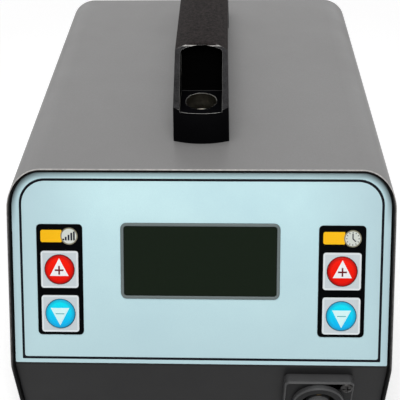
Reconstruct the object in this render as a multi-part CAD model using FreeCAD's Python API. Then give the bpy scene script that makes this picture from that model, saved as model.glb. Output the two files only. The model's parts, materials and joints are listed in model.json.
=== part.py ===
"""Benchtop induction heater: a sheet-metal console case with a leaning control panel and a bridge handle.

X runs to the right seen from the front, Y from the front to the back and Z up. The origin is the middle of
the footprint, at the level that the feet stand on. Millimetres.
"""

import FreeCAD
import Part
import math
import os

Vec = FreeCAD.Vector

# Case, outside sizes of the grey cover
case_width = 170.0
top_length = 178.0
panel_slope = 88.8
panel_lean = 32.0
lower_height = 44.0
cover_sheet = 1.3
cover_corner = 15.0
bend_round = 8.0
vent_width = 2.6
vent_height = 26.0
vent_pitch = 7.0
vent_count = 7
vent_level = 47.0
rear_vent_inset = 66.0
front_vent_inset = 78.0

# Black folded sheets inside the cover
panel_recess = 2.2
fold_sheet = 1.2
fold_round = 1.6
fold_depth = 7.0
pan_side = 20.0
slip = 0.3
pan_vent_length = 30.0
pan_vent_count = 9

# Feet
foot_height = 9.0
foot_top_radius = 10.0
foot_base_radius = 8.0
foot_inset = 18.0
foot_recess_radius = 5.0
foot_recess_depth = 4.5
foot_sides = 16

# Screws: the shank radius, the head radius and height, and the room round a shank. They repeat often, so
# they and their holes are drawn with a few flat sides, like the inner round pieces.
m3_shank = 1.5
m3_head = 2.8
m3_head_height = 2.0
m4_shank = 2.0
m4_head = 3.6
m4_head_height = 2.6
m6_shank = 3.0
m6_head = 5.2
m6_head_height = 3.4
nut_share = 1.75
nut_height_share = 1.6
screw_room = 0.2
peg_sides = 6
head_sides = 8
round_sides = 24
ring_sides = 40
cover_screw_length = 6.0
cover_screw_inset = 26.0
foot_screw_length = 8.5

# Printed overlay on the leaning panel, with rows measured down the slope from the cover's top front edge
overlay_thick = 0.5
overlay_side_gap = 0.3
overlay_top_row = 1.3
overlay_bottom_gap = 0.9
overlay_corner = 0.6
part_gap = 0.1

# Display
display_width = 70.3
display_height = 34.0
display_row = 40.6
bezel_line = 1.4
bezel_proud = 0.4
display_corner = 2.6
window_ledge = 2.0
module_width = 76.0
module_height = 40.0
module_glass_width = 66.0
module_glass_height = 28.0
module_glass_thick = 1.1
module_gap = 0.3

# Keypad fields, their square bezels and the push buttons
keypad_inset = 22.8
keypad_row = 49.3
keypad_width = 20.5
keypad_height = 50.0
keypad_proud = 0.3
keypad_corner = 1.8
pad_size = 16.6
pad_corner = 1.2
pad_thick = 0.5
pad_ledge = 1.2
button_row = 44.5
button_pitch = 20.0
button_radius = 6.5
button_room = 0.3
button_float = 0.9
button_height = 1.2
button_edge = 0.4
button_sides = 32
button_travel = 0.6
stem_width = 5.0
stem_room = 0.4
collar_grip = 1.0
collar_thick = 0.9

# Control board behind the leaning panel
board_thick = 1.6
board_gap = 10.0
control_inset = 10.0
control_height = 60.0
control_row = 50.0
tact_size = 6.2
tact_height = 3.6
plunger_width = 2.8
plunger_seat = 0.8
plunger_proud = 2.4
stud_inset = 4.5
standoff_radius = 3.0
standoff_stud = 4.6
chip_size = 10.0
chip_thick = 1.8

# Tool socket on the lower front
socket_inset = 31.5
socket_drop = 18.6
flange_width = 31.0
flange_height = 26.0
flange_thick = 5.0
flange_corner = 2.2
flange_edge = 0.7
collar_radius = 11.7
collar_proud = 2.3
collar_edge = 0.6
socket_bore = 8.3
barrel_radius = 10.6
barrel_depth = 14.0
barrel_wall = 2.5
insert_radius = 5.6
insert_setback = 0.3
insert_edge = 0.6
insert_eye = 1.6
insert_eye_depth = 6.0
key_width = 2.4
key_depth = 1.1
contact_width = 2.2
contact_thick = 0.7
contact_setback = 1.6
contact_tail = 9.0
contact_count = 4
socket_screw_x = 12.0
socket_screw_z = 9.5
socket_screw_length = 9.0

# Bridge handle on the top
handle_length = 138.5
handle_bolt_inset = 10.75
handle_width = 25.4
handle_height = 38.0
grip_width = 23.6
grip_crown = 2.4
end_bulge = 2.4
handle_block = 16.0
rim_run = 24.7
leg_foot = 20.0
leg_slope = 60.0
leg_wall = 3.5
finger_clear = 27.0
handle_skin = 0.9
pocket_width = 18.8
pocket_run = 20.0
pocket_crown = 1.6
pocket_corner = 1.3
rim_round = 5.0
heel_round = 7.0
counterbore_radius = 7.0
counterbore_depth = 10.4
handle_washer_radius = 6.2
handle_washer_thick = 1.2
bolt_room = 0.3

# Mains inlet with its fuse drawer, on the rear panel
inlet_inset = 31.0
inlet_level = 76.0
inlet_flange_width = 50.0
inlet_flange_height = 36.0
inlet_flange_thick = 3.0
inlet_flange_corner = 4.0
inlet_body_width = 27.6
inlet_body_depth = 25.0
inlet_screw_pitch = 40.0
inlet_wall = 1.5
cavity_width = 24.4
cavity_height = 16.8
cavity_chamfer = 4.6
cavity_depth = 19.0
pin_width = 4.0
pin_thick = 2.0
pin_pitch = 14.0
pin_offset = 2.0
pin_setback = 4.7
pin_tail_length = 8.0
drawer_width = 22.8
drawer_height = 8.6
drawer_depth = 20.0
drawer_room = 0.3
drawer_pull = 1.4
fuse_radius = 2.5
fuse_cap_radius = 2.6
fuse_length = 20.0
fuse_cap_length = 5.0
fuse_setback = 10.0

# Rocker switch below the inlet
switch_level = 38.0
switch_width = 15.0
switch_height = 21.0
switch_bezel = 1.6
switch_body_width = 12.8
switch_body_height = 19.2
switch_body_depth = 20.0
switch_tail = 7.0
rocker_width = 10.2
rocker_length = 16.4
rocker_room = 0.35
rocker_tilt = 9.5
rocker_middle = 2.0
rocker_flank = 1.0
rocker_belly = 5.0
rocker_flush = 0.3
trunnion_radius = 1.2
trunnion_length = 0.8
trunnion_fit = 0.08
tab_width = 4.8
tab_thick = 0.8

# Fan on the rear panel
fan_side_gap = 7.0
fan_size = 80.0
fan_depth = 25.0
fan_corner = 4.0
fan_flange = 4.0
fan_rim = 1.6
fan_wall = 1.6
fan_screw_inset = 4.25
fan_hub_radius = 18.0
fan_hub_depth = 18.0
fan_hub_wall = 1.6
fan_hub_gap = 1.2
fan_strut_width = 3.4
fan_strut_thick = 3.0
fan_strut_count = 4
fan_shaft_radius = 1.5
fan_shaft_fit = 0.05
fan_lead_exit_shares = (0.425, -0.29)
blade_count = 5
blade_tip_gap = 1.0
blade_thick = 1.3
blade_chord = 26.0
blade_pitch = 34.0
blade_camber_share = 0.11
guard_wire = 0.8
guard_sides = 24
guard_proud = 5.0
guard_ring_count = 3
guard_eye_radius = 4.4
guard_eye_thick = 1.6
fan_screw_length = 11.0

# Power board on the base pan
power_gap = 8.0
power_width = 97.0
power_length = 130.0
power_right_inset = 6.0
power_front_inset = 59.06
capacitor_radius = 11.0
capacitor_height = 32.0
film_width = 41.0
film_depth = 14.0
film_height = 25.0
core_width = 55.0
core_depth = 21.0
core_height = 46.0
core_leg = 7.0
winding_gap = 0.8
winding_build = 8.5
choke_width = 26.0
choke_height = 24.0
choke_depth = 9.0
choke_leg = 6.0
choke_coil = 2.5
relay_width = 28.0
relay_depth = 13.0
relay_height = 25.0
post_size = 8.0
post_height = 11.0
terminal_width = 16.0
terminal_depth = 10.0
terminal_height = 12.0
rectifier_width = 30.0
rectifier_height = 20.0
rectifier_thick = 4.8

# Places on the power board as shares of its width and its length, from its left front corner
capacitor_places_shares = ((0.36, 0.875), (0.62, 0.875))
film_places_shares = ((0.50, 0.165), (0.50, 0.285), (0.50, 0.405))
core_place_shares = (0.50, 0.62)
choke_place_shares = (0.90, 0.42)
relay_place_shares = (0.87, 0.68)
post_places_shares = ((0.68, 0.07), (0.82, 0.07))
terminal_place_shares = (0.82, 0.93)
header_place_shares = (0.30, 0.07)
fan_header_place_shares = (0.12, 0.94)
transistor_places_shares = (0.16, 0.34, 0.52)
rectifier_place_share = 0.74

# Heatsink in the fan's air, with the power transistors on its face
sink_length = 108.0
sink_height = 60.0
sink_base = 6.0
sink_fin = 1.8
sink_side_gap = 16.8
sink_fin_count = 9
sink_gap = 0.6
transistor_width = 15.8
transistor_height = 20.8
transistor_thick = 5.0
transistor_lift = 12.0
transistor_leg = 1.2
transistor_leg_thick = 0.6
transistor_leg_pitch = 5.4
transistor_hole = 1.8

# Inside wiring
mains_lead_radius = 1.5
output_lead_radius = 2.2
fan_lead_radius = 1.0
lead_sides = 6
lead_bend = 4.0
lead_reach = 8.0
ribbon_width = 20.0
ribbon_thick = 1.0
ribbon_bend = 5.0
header_width = 24.0
header_depth = 6.0
header_height = 8.0
fan_header_width = 8.0
earth_stud_radius = 2.0
earth_stud_height = 12.0
earth_side_gap = 73.0
earth_inset = 24.0

# One overrun serves every cut, and lengths under the smallest one count as zero. Corners rounder than the
# least arc are true arcs, and smaller ones are a few straight runs.
overrun = 2.0
smallest = 1e-6
least_arc = 4.5
corner_run_count = 4

# Levels and places that follow from the sizes above
lean = math.radians(panel_lean)
slope_rise = panel_slope * math.cos(lean)
slope_run = panel_slope * math.sin(lean)
case_depth = slope_run + top_length
front_reach = flange_thick + collar_proud - panel_recess
rear_reach = guard_proud - panel_recess
front_y = front_reach - (front_reach + case_depth + rear_reach) / 2
back_y = front_y + case_depth
top_front_y = front_y + slope_run
top_middle_y = (top_front_y + back_y) / 2
case_bottom = foot_height
bend_z = case_bottom + lower_height
case_top = bend_z + slope_rise
pan_top = case_bottom + fold_sheet
face_y = front_y + panel_recess
rear_y = back_y - panel_recess
inner_half = case_width / 2 - cover_sheet - slip
pan_half = inner_half - fold_sheet
keypad_column = case_width / 2 - keypad_inset
control_width = case_width - 2 * control_inset
handle_pitch = handle_length - 2 * handle_bolt_inset
inlet_column = case_width / 2 - inlet_inset
fan_bore = fan_size / 2 - fan_rim
fan_screw_pitch = fan_size - 2 * fan_screw_inset
power_left = pan_half - power_right_inset - power_width
power_front = front_y + power_front_inset
power_under = pan_top + power_gap
power_face = power_under + board_thick
sink_face_x = power_left - sink_gap
sink_fin_reach = sink_face_x - sink_base + pan_half - sink_side_gap
inner_top = case_top - cover_sheet - slip

# The leaning panel's own frame: across, up the slope and outwards, from its line under the cover's top edge
panel_origin = Vec(0, top_front_y + panel_recess * math.cos(lean), case_top - panel_recess * math.sin(lean))
panel_turn = FreeCAD.Rotation(Vec(1, 0, 0), 90 - panel_lean)
panel_place = FreeCAD.Placement(panel_origin, panel_turn)
button_rows = (button_row, button_row + button_pitch)
board_face = -fold_sheet - board_gap
plunger_face = board_face + tact_height + plunger_proud

along_x = Vec(1, 0, 0)
along_y = Vec(0, 1, 0)
along_z = Vec(0, 0, 1)


def plan(level):
    """Turns an outline's (a, b) into (x, y) at a height."""
    return lambda point: Vec(point.x, point.y, level)


def front(y):
    """Turns an outline's (a, b) into (x, z) at a distance back."""
    return lambda point: Vec(point.x, y, point.y)


def side(x):
    """Turns an outline's (a, b) into (y, z) at a distance across."""
    return lambda point: Vec(x, point.x, point.y)


def rounded_corner(last, here, following, radius):
    """Points along a rounded corner, and whether they are the start, middle and end of a true arc."""
    if not radius:
        return [here], False
    back = (last - here).normalize()
    ahead = (following - here).normalize()
    half = back.getAngle(ahead) / 2
    reach = radius / math.tan(half)
    centre = here + (back + ahead).normalize() * (radius / math.sin(half))
    true_arc = radius > least_arc
    runs = 2 if true_arc else corner_run_count
    start = here + back * reach - centre
    end = here + ahead * reach - centre
    turn = math.pi - 2 * half
    points = []
    for step in range(runs + 1):
        first = math.sin(turn * (1 - step / runs)) / math.sin(turn)
        second = math.sin(turn * step / runs) / math.sin(turn)
        points.append(centre + start * first + end * second)
    return points, true_arc


def outline(points, place):
    """Closed wire through points (a, b) or (a, b, radius), each corner rounded by its radius."""
    corners = []
    spots = [Vec(point[0], point[1], 0) for point in points]
    for index, point in enumerate(points):
        radius = point[2] if len(point) > 2 else 0
        following = spots[(index + 1) % len(spots)]
        corners.append(rounded_corner(spots[index - 1], spots[index], following, radius))
    edges = []
    for index, (path, true_arc) in enumerate(corners):
        goal = corners[(index + 1) % len(corners)][0][0]
        if true_arc:
            edges.append(Part.Arc(*[place(point) for point in path]).toShape())
            path = path[-1:]
        for start, end in zip(path, path[1:] + [goal]):
            if (end - start).Length > smallest:
                edges.append(Part.LineSegment(place(start), place(end)).toShape())
    return Part.Wire(edges)


def prism(points, place, along):
    """Solid that an outline sweeps along a straight line."""
    return Part.Face(outline(points, place)).extrude(along)


def block(width, height, radius=0, across=0, up=0):
    """Outline of a rectangle about a middle point, its corners rounded by a radius."""
    left = across - width / 2
    right = across + width / 2
    low = up - height / 2
    high = up + height / 2
    return [(left, low, radius), (right, low, radius), (right, high, radius), (left, high, radius)]


def rod(radius, start, along):
    """Round bar from a point along a vector."""
    return Part.makeCylinder(radius, along.Length, start, along)


def even_points(radius, sides):
    """Corners of a regular outline, level on its four sides."""
    turns = [2 * math.pi * (step + 1 / 2) / sides for step in range(sides)]
    return [(radius * math.cos(turn), radius * math.sin(turn)) for turn in turns]


def peg(radius, start, along, sides=peg_sides):
    """Bar with a few flat sides from a point along a vector."""
    body = prism(even_points(radius, sides), plan(0), along_z * along.Length)
    return moved(body, FreeCAD.Placement(start, FreeCAD.Rotation(along_z, along)))


def cone(radius, end_radius, start, along, sides):
    """Bar with flat sides that narrows or widens from one radius to another along a vector."""
    ends = [outline(even_points(radius, sides), plan(0)),
            outline(even_points(end_radius, sides), plan(along.Length))]
    body = Part.makeLoft(ends, True, True)
    return moved(body, FreeCAD.Placement(start, FreeCAD.Rotation(along_z, along)))


def fused(shapes):
    """One solid out of several that meet."""
    return shapes[0].multiFuse(shapes[1:]).removeSplitter()


def group(shapes):
    """Like pieces that share a node."""
    return Part.makeCompound(shapes)


def moved(shape, place):
    """The shape carried from its own frame to a placement."""
    copy = shape.copy()
    copy.Placement = place.multiply(copy.Placement)
    return copy


def on_panel(shape):
    """Carries a shape from the leaning panel's own frame to the case."""
    return moved(shape, panel_place)


def panel_peg(radius, across, row, low, high, sides=peg_sides):
    """Bar with flat sides, square to the leaning panel, in the panel's own frame."""
    return peg(radius, Vec(across, -row, low), along_z * (high - low), sides)


def panel_post(width, across, row, low, high):
    """Square bar square to the leaning panel, in the panel's own frame."""
    return prism(block(width, width, 0, across, -row), plan(low), along_z * (high - low))


def screw(shank, head, head_height, length, seat, axis):
    """Screw with the underside of its round head on a seat, the head pointing along an axis."""
    return fused([peg(shank, seat, axis * -length), peg(head, seat, axis * head_height, head_sides)])


def nut(shank, seat, axis):
    """Hexagon nut on a seat, its height along an axis."""
    corner = shank * nut_share / math.cos(math.pi / 6)
    height = shank * nut_height_share
    body = peg(corner, seat, axis * height, 6)
    return body.cut(peg(shank + screw_room / 2, seat - axis * overrun, axis * (height + 2 * overrun)))


def lead(points, radius, bend):
    """Insulated wire through points: straight runs, with a short slanting run across each corner."""
    path = [points[0]]
    for index in range(1, len(points) - 1):
        here = points[index]
        path.append(here + (points[index - 1] - here).normalize() * bend)
        path.append(here + (points[index + 1] - here).normalize() * bend)
    path.append(points[-1])
    section = outline(even_points(radius, lead_sides), plan(0))
    section.Placement = FreeCAD.Placement(points[0], FreeCAD.Rotation(along_z, points[1] - points[0]))
    return Part.makePolygon(path).makePipeShell([section], True, False, 1)


# Grey cover
def case_side():
    """Side outline of the console: upright lower front, leaning panel, level top and upright back."""
    return [
        (front_y, case_bottom),
        (front_y, bend_z, bend_round),
        (top_front_y, case_top),
        (back_y, case_top),
        (back_y, case_bottom),
    ]


def cover_section(inset, bottom):
    """Front outline of the cover's arch, drawn in by an inset."""
    half = case_width / 2 - inset
    return [
        (-half, bottom),
        (-half, case_top - inset, cover_corner - inset),
        (half, case_top - inset, cover_corner - inset),
        (half, bottom),
    ]


def cover_screw_seats():
    """Seat and outward direction of each screw that holds the cover to the pan."""
    seats = []
    for y in (front_y + cover_screw_inset, back_y - cover_screw_inset):
        for way in (-1, 1):
            seats.append((Vec(way * case_width / 2, y, pan_top + pan_side / 2), along_x * way))
    return seats


def handle_bolt_points():
    """Where the handle's bolts pass through the top of the cover."""
    half = handle_pitch / 2
    return [Vec(0, top_middle_y - half, case_top), Vec(0, top_middle_y + half, case_top)]


def side_vents():
    """Upright slots that pass through both sides of the cover."""
    slots = []
    run = (vent_count - 1) * vent_pitch
    for middle in (front_y + front_vent_inset, back_y - rear_vent_inset):
        for index in range(vent_count):
            y = middle - run / 2 + index * vent_pitch
            points = block(vent_width, vent_height, 0, y, case_bottom + vent_level)
            start = side(-case_width / 2 - overrun)
            slots.append(prism(points, start, along_x * (case_width + 2 * overrun)))
    return slots


def top_cover():
    """Inverted U of one sheet, its front edges cut to the console outline, with vents and screw holes."""
    outer = prism(cover_section(0, case_bottom), front(front_y), along_y * case_depth)
    inner = prism(cover_section(cover_sheet, case_bottom - overrun), front(front_y - overrun),
                  along_y * (case_depth + 2 * overrun))
    sides = prism(case_side(), side(-case_width / 2 - overrun), along_x * (case_width + 2 * overrun))
    arch = outer.cut(inner).common(sides)
    cuts = side_vents()
    for seat, way in cover_screw_seats():
        cuts.append(peg(m3_shank + screw_room, seat + way * overrun, way * -(overrun * 2 + cover_sheet)))
    for point in handle_bolt_points():
        down = along_z * -(overrun * 2 + cover_sheet)
        cuts.append(peg(m6_shank + bolt_room, point + along_z * overrun, down))
    return arch.cut(cuts)


def cover_screws():
    """Pan-head screws through the cover's sides into the pan's upturned edges."""
    screws = []
    for seat, way in cover_screw_seats():
        screws.append(screw(m3_shank, m3_head, m3_head_height, cover_screw_length, seat, way))
    return group(screws)


# Black base pan
def foot_points():
    """Middle of each foot, under the pan."""
    points = []
    for x in (-case_width / 2 + foot_inset, case_width / 2 - foot_inset):
        for y in (front_y + foot_inset, back_y - foot_inset):
            points.append(Vec(x, y, case_bottom))
    return points


def base_pan():
    """Tray of folded sheet: a flat bottom with vent slots and upturned sides between the two end panels."""
    length = rear_y - face_y
    outer = [
        (-inner_half, pan_top + pan_side),
        (-inner_half, case_bottom, fold_round),
        (inner_half, case_bottom, fold_round),
        (inner_half, pan_top + pan_side),
    ]
    thin = inner_half - fold_sheet
    inner = [
        (-thin, pan_top + pan_side + overrun),
        (-thin, pan_top, fold_round - fold_sheet),
        (thin, pan_top, fold_round - fold_sheet),
        (thin, pan_top + pan_side + overrun),
    ]
    tray = prism(outer, front(face_y), along_y * length)
    tray = tray.cut(prism(inner, front(face_y - overrun), along_y * (length + 2 * overrun)))
    cuts = []
    for start in (face_y - overrun, rear_y - fold_depth - slip):
        room = prism(block(case_width, pan_side + fold_round, 0, 0, pan_top + (pan_side + fold_round) / 2),
                     front(start), along_y * (fold_depth + slip + overrun))
        cuts.append(room)
    vent_run = (pan_vent_count - 1) * vent_pitch
    for index in range(pan_vent_count):
        y = power_front + power_length / 2 - vent_run / 2 + index * vent_pitch
        points = block(pan_vent_length, vent_width, 0, power_left + power_width / 2, y)
        cuts.append(prism(points, plan(case_bottom - overrun), along_z * (fold_sheet + 2 * overrun)))
    for point in foot_points():
        up = along_z * (fold_sheet + 2 * overrun)
        cuts.append(peg(m4_shank + screw_room, point - along_z * overrun, up))
    for seat, way in cover_screw_seats():
        reach = cover_sheet + slip + fold_sheet + overrun
        cuts.append(peg(m3_shank + screw_room / 2, seat, way * -reach))
    return tray.cut(cuts)


def rubber_feet():
    """Tapered feet, each with a recess below for its screw."""
    feet = []
    for point in foot_points():
        foot = cone(foot_top_radius, foot_base_radius, point, along_z * -foot_height, foot_sides)
        base = point - along_z * (foot_height + overrun)
        recess = peg(foot_recess_radius, base, along_z * (foot_recess_depth + overrun), head_sides)
        hole = peg(m4_shank + screw_room, base, along_z * (foot_height + 2 * overrun))
        feet.append(foot.cut([recess, hole]))
    return group(feet)


def foot_screws():
    """Screws that hold the feet up to the pan, heads inside the feet's recesses."""
    seat_drop = foot_height - foot_recess_depth
    screws = []
    for point in foot_points():
        seat = point - along_z * seat_drop
        screws.append(screw(m4_shank, m4_head, m4_head_height, foot_screw_length, seat, along_z * -1))
    return group(screws)


def foot_nuts():
    """Nuts on the foot screws, inside the pan."""
    return group([nut(m4_shank, Vec(point.x, point.y, pan_top), along_z) for point in foot_points()])


# Black front and rear panels
def strip(points, thickness, radius):
    """Outline of a folded sheet: the right-hand face through points, and the other a thickness to its left.

    Each fold is rounded by the radius on the right-hand face and keeps the sheet's thickness round the fold.
    """
    right = [Vec(a, b, 0) for a, b in points]
    normals = []
    for start, end in zip(right, right[1:]):
        run = (end - start).normalize()
        normals.append(Vec(-run.y, run.x, 0) * thickness)
    left = [right[0] + normals[0]]
    rounds = [0]
    for index in range(1, len(right) - 1):
        spread = normals[index - 1] + normals[index]
        left.append(right[index] + spread * (2 * thickness ** 2 / spread.Length ** 2))
        turn = normals[index - 1].cross(normals[index]).z
        rounds.append(radius - math.copysign(thickness, turn) if radius else 0)
    left.append(right[-1] + normals[-1])
    rounds.append(0)
    face = [(p.x, p.y, radius if r else 0) for p, r in zip(right, rounds)]
    rear = [(p.x, p.y, r) for p, r in zip(left, rounds)]
    return face + rear[::-1]


def inside_arch(inset, start, length):
    """Room under the cover's arch, drawn in by an inset from the cover's inner face."""
    reach = cover_sheet + inset
    return prism(cover_section(reach, case_bottom - overrun), front(start), along_y * length)


def recessed_y(z):
    """Distance back of the leaning panel's outer face at a height."""
    return panel_origin.y - (panel_origin.z - z) * math.tan(lean)


def panel_bend_z():
    """Height at which the leaning face meets the upright lower face."""
    return panel_origin.z - (panel_origin.y - face_y) / math.tan(lean)


def front_panel_solid():
    """The bare folded sheet: top return, leaning face, upright face and the foot that lies on the pan."""
    points = [
        (recessed_y(inner_top) + fold_depth, inner_top),
        (recessed_y(inner_top), inner_top),
        (face_y, panel_bend_z()),
        (face_y, pan_top),
        (face_y + fold_depth, pan_top),
    ]
    return prism(strip(points, fold_sheet, fold_round), side(-inner_half), along_x * (2 * inner_half))


def button_points():
    """Name, distance across and row of each push button."""
    points = []
    for column, word in ((-keypad_column, "power"), (keypad_column, "time")):
        for row, way in zip(button_rows, ("up", "down")):
            points.append((word + "_" + way, column, row))
    return points


def standoff_points():
    """Middle of each standoff between the leaning panel and the control board, in the panel's own frame."""
    points = []
    reach = control_height / 2 - stud_inset
    for across in (-control_width / 2 + stud_inset, control_width / 2 - stud_inset):
        for row in (control_row - reach, control_row + reach):
            points.append((across, row))
    return points


socket_middle = Vec(case_width / 2 - socket_inset, face_y, bend_z - socket_drop)


def socket_screw_points():
    """Where the socket's two screws pass, on the diagonal of its flange."""
    offset = Vec(socket_screw_x, 0, socket_screw_z)
    return [socket_middle + offset, socket_middle - offset]


def front_panel():
    """The folded front sheet with its openings for the display, the button stems and the tool socket."""
    sheet = front_panel_solid().common(inside_arch(slip, front_y, case_depth))
    depth = fold_sheet + 2 * overrun
    opening = block(display_width - 2 * bezel_line - 2 * window_ledge,
                    display_height - 2 * bezel_line - 2 * window_ledge, display_corner, 0, -display_row)
    cuts = [on_panel(prism(opening, plan(-fold_sheet - overrun), along_z * depth))]
    for _, across, row in button_points():
        post = panel_post(stem_width + 2 * stem_room, across, row, -fold_sheet - overrun, overrun)
        cuts.append(on_panel(post))
    cuts.append(peg(barrel_radius + slip, socket_middle - along_y * overrun, along_y * depth, round_sides))
    for point in socket_screw_points():
        cuts.append(peg(m3_shank + screw_room / 2, point - along_y * overrun, along_y * depth))
    return sheet.cut(cuts)


def rear_panel():
    """The folded rear sheet with its openings for the fan, the inlet and the switch."""
    points = [
        (rear_y - fold_depth, pan_top),
        (rear_y, pan_top),
        (rear_y, inner_top),
        (rear_y - fold_depth, inner_top),
    ]
    sheet = prism(strip(points, fold_sheet, fold_round), side(-inner_half), along_x * (2 * inner_half))
    sheet = sheet.common(inside_arch(slip, front_y, case_depth))
    inward = along_y * -(fold_sheet + 2 * overrun)
    start = rear_y + overrun
    cuts = [peg(fan_bore, fan_middle + along_y * overrun, inward, ring_sides)]
    for point in fan_screw_points():
        cuts.append(peg(m4_shank + screw_room, point + along_y * overrun, inward))
    cuts.append(prism(block(inlet_body_width + 2 * slip, inlet_flange_height - 2 * inlet_wall, 0,
                            inlet_middle.x, inlet_middle.z), front(start), inward))
    for point in inlet_screw_points():
        cuts.append(peg(m3_shank + screw_room / 2, point + along_y * overrun, inward))
    cuts.append(prism(block(switch_body_width + 2 * slip, switch_body_height + 2 * slip, 0,
                            switch_middle.x, switch_middle.z), front(start), inward))
    return sheet.cut(cuts)


# Overlay, display and keypads, in the leaning panel's own frame
def overlay_outline():
    """Outline of the printed overlay on the leaning face."""
    width = 2 * (inner_half - overlay_side_gap)
    bottom_row = (panel_origin.z - panel_bend_z()) / math.cos(lean) - overlay_bottom_gap
    height = bottom_row - overlay_top_row
    return block(width, height, overlay_corner, 0, -(overlay_top_row + bottom_row) / 2)


def panel_overlay():
    """Thin printed sheet with openings for the display and for the keypads."""
    arch = inside_arch(slip + overlay_side_gap, front_y, case_depth)
    sheet = prism(overlay_outline(), plan(0), along_z * overlay_thick)
    sheet = sheet.common(moved(arch, panel_place.inverse()))
    openings = [block(display_width, display_height, display_corner, 0, -display_row)]
    for column in (-keypad_column, keypad_column):
        openings.append(block(keypad_width, keypad_height, keypad_corner, column, -keypad_row))
    through = along_z * (overlay_thick + 2 * overrun)
    return on_panel(sheet.cut([prism(points, plan(-overrun), through) for points in openings]))


def display_bezel():
    """Grey frame line round the window, standing a little proud of the overlay."""
    height = overlay_thick + bezel_proud
    shapes = []
    for inset in (part_gap, bezel_line):
        shapes.append(block(display_width - 2 * inset, display_height - 2 * inset, display_corner - inset,
                            0, -display_row))
    outer = prism(shapes[0], plan(0), along_z * height)
    return on_panel(outer.cut(prism(shapes[1], plan(-overrun), along_z * (height + 2 * overrun))))


def display_window():
    """Dark clear plate that fills the bezel and lies on the ledge of the front sheet."""
    inset = bezel_line + part_gap
    shape = block(display_width - 2 * inset, display_height - 2 * inset, display_corner - inset,
                  0, -display_row)
    return on_panel(prism(shape, plan(0), along_z * overlay_thick))


def keypad_plates():
    """Two black plates in the overlay's openings, each with a square opening under each button's bezel."""
    plates = []
    height = overlay_thick + keypad_proud
    for column in (-keypad_column, keypad_column):
        shape = block(keypad_width - 2 * part_gap, keypad_height - 2 * part_gap, keypad_corner - part_gap,
                      column, -keypad_row)
        plate = prism(shape, plan(0), along_z * height)
        width = pad_size - 2 * pad_ledge
        cuts = [panel_post(width, column, row, -overrun, height + overrun) for row in button_rows]
        plates.append(on_panel(plate.cut(cuts)))
    return group(plates)


def button_bezels():
    """Pale square bezel round each button."""
    low = overlay_thick + keypad_proud
    bezels = []
    for _, across, row in button_points():
        pad = prism(block(pad_size, pad_size, pad_corner, across, -row), plan(low), along_z * pad_thick)
        room = button_radius + button_room
        hole = panel_peg(room, across, row, low - overrun, low + overrun, button_sides)
        bezels.append(on_panel(pad.cut(hole)))
    return group(bezels)


def push_button(across, row):
    """Round cap on a square stem with a snap collar, and the switch plunger that it pushes."""
    edge = button_float + button_height - button_edge
    disc = panel_peg(button_radius, across, row, button_float, edge, button_sides)
    bevel = cone(button_radius, button_radius - button_edge, Vec(across, -row, edge), along_z * button_edge,
                 button_sides)
    stem = panel_post(stem_width, across, row, plunger_face, button_float)
    ring_top = -fold_sheet - part_gap
    ring_width = stem_width + 2 * (stem_room + collar_grip)
    ring = panel_post(ring_width, across, row, ring_top - collar_thick, ring_top)
    plunger = panel_post(plunger_width, across, row, board_face + tact_height - plunger_seat, plunger_face)
    return on_panel(group([fused([disc, bevel, stem, ring]), plunger]))


# Control board, display module and their fixings, in the leaning panel's own frame
def tact_switches():
    """Four square switches on the control board, each with a bore for its plunger."""
    switches = []
    for _, across, row in button_points():
        body = prism(block(tact_size, tact_size, 0, across, -row), plan(board_face), along_z * tact_height)
        depth = plunger_seat + button_travel + part_gap
        top = board_face + tact_height
        bore = panel_post(plunger_width + 2 * slip, across, row, top - depth, top + overrun)
        switches.append(on_panel(body.cut(bore)))
    return group(switches)


def control_board():
    """Board that carries the switches and the display, with its chips and ribbon header on the rear face."""
    rear = board_face - board_thick
    plate = block(control_width, control_height, 0, 0, -control_row)
    pieces = [prism(plate, plan(rear), along_z * board_thick)]
    for across in (-control_width / 4, 0):
        points = block(chip_size, chip_size, 0, across, -control_row)
        pieces.append(prism(points, plan(rear), along_z * -chip_thick))
    points = block(header_width, header_depth, 0, ribbon_column, -header_row)
    pieces.append(prism(points, plan(rear), along_z * -header_height))
    cuts = []
    for across, row in standoff_points():
        low = board_face - overrun
        cuts.append(panel_peg(m3_shank + screw_room, across, row, low, board_face + overrun))
    return on_panel(fused(pieces).cut(cuts))


def display_module():
    """Display block between the board and the sheet, with its glass standing up to the opening."""
    top = -fold_sheet - module_gap
    body_top = top - module_glass_thick
    body = prism(block(module_width, module_height, display_corner, 0, -display_row), plan(board_face),
                 along_z * (body_top - board_face))
    glass = prism(block(module_glass_width, module_glass_height, 0, 0, -display_row), plan(body_top),
                  along_z * module_glass_thick)
    return on_panel(fused([body, glass]))


def board_standoffs():
    """Hexagonal standoffs behind the leaning sheet and on the pan, with studs through the two boards."""
    posts = []
    for across, row in standoff_points():
        post = panel_peg(standoff_radius, across, row, board_face, -fold_sheet, 6)
        stud = panel_peg(m3_shank, across, row, board_face - standoff_stud, board_face)
        posts.append(on_panel(fused([post, stud])))
    for point in power_stud_points():
        post = peg(standoff_radius, point, along_z * power_gap, 6)
        stud = peg(m3_shank, point, along_z * (power_gap + standoff_stud))
        posts.append(fused([post, stud]))
    return group(posts)


def board_nuts():
    """Nuts that hold the control board and the power board on their standoffs."""
    nuts = []
    for across, row in standoff_points():
        nuts.append(on_panel(nut(m3_shank, Vec(across, -row, board_face - board_thick), along_z * -1)))
    for point in power_stud_points():
        nuts.append(nut(m3_shank, Vec(point.x, point.y, power_face), along_z))
    return group(nuts)


# Tool socket
socket_front = face_y - flange_thick - collar_proud
socket_back = face_y + barrel_depth


def contact_angles():
    """Angles at which the contacts stand round the insert."""
    return [360 * index / contact_count for index in range(contact_count)]


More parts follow.
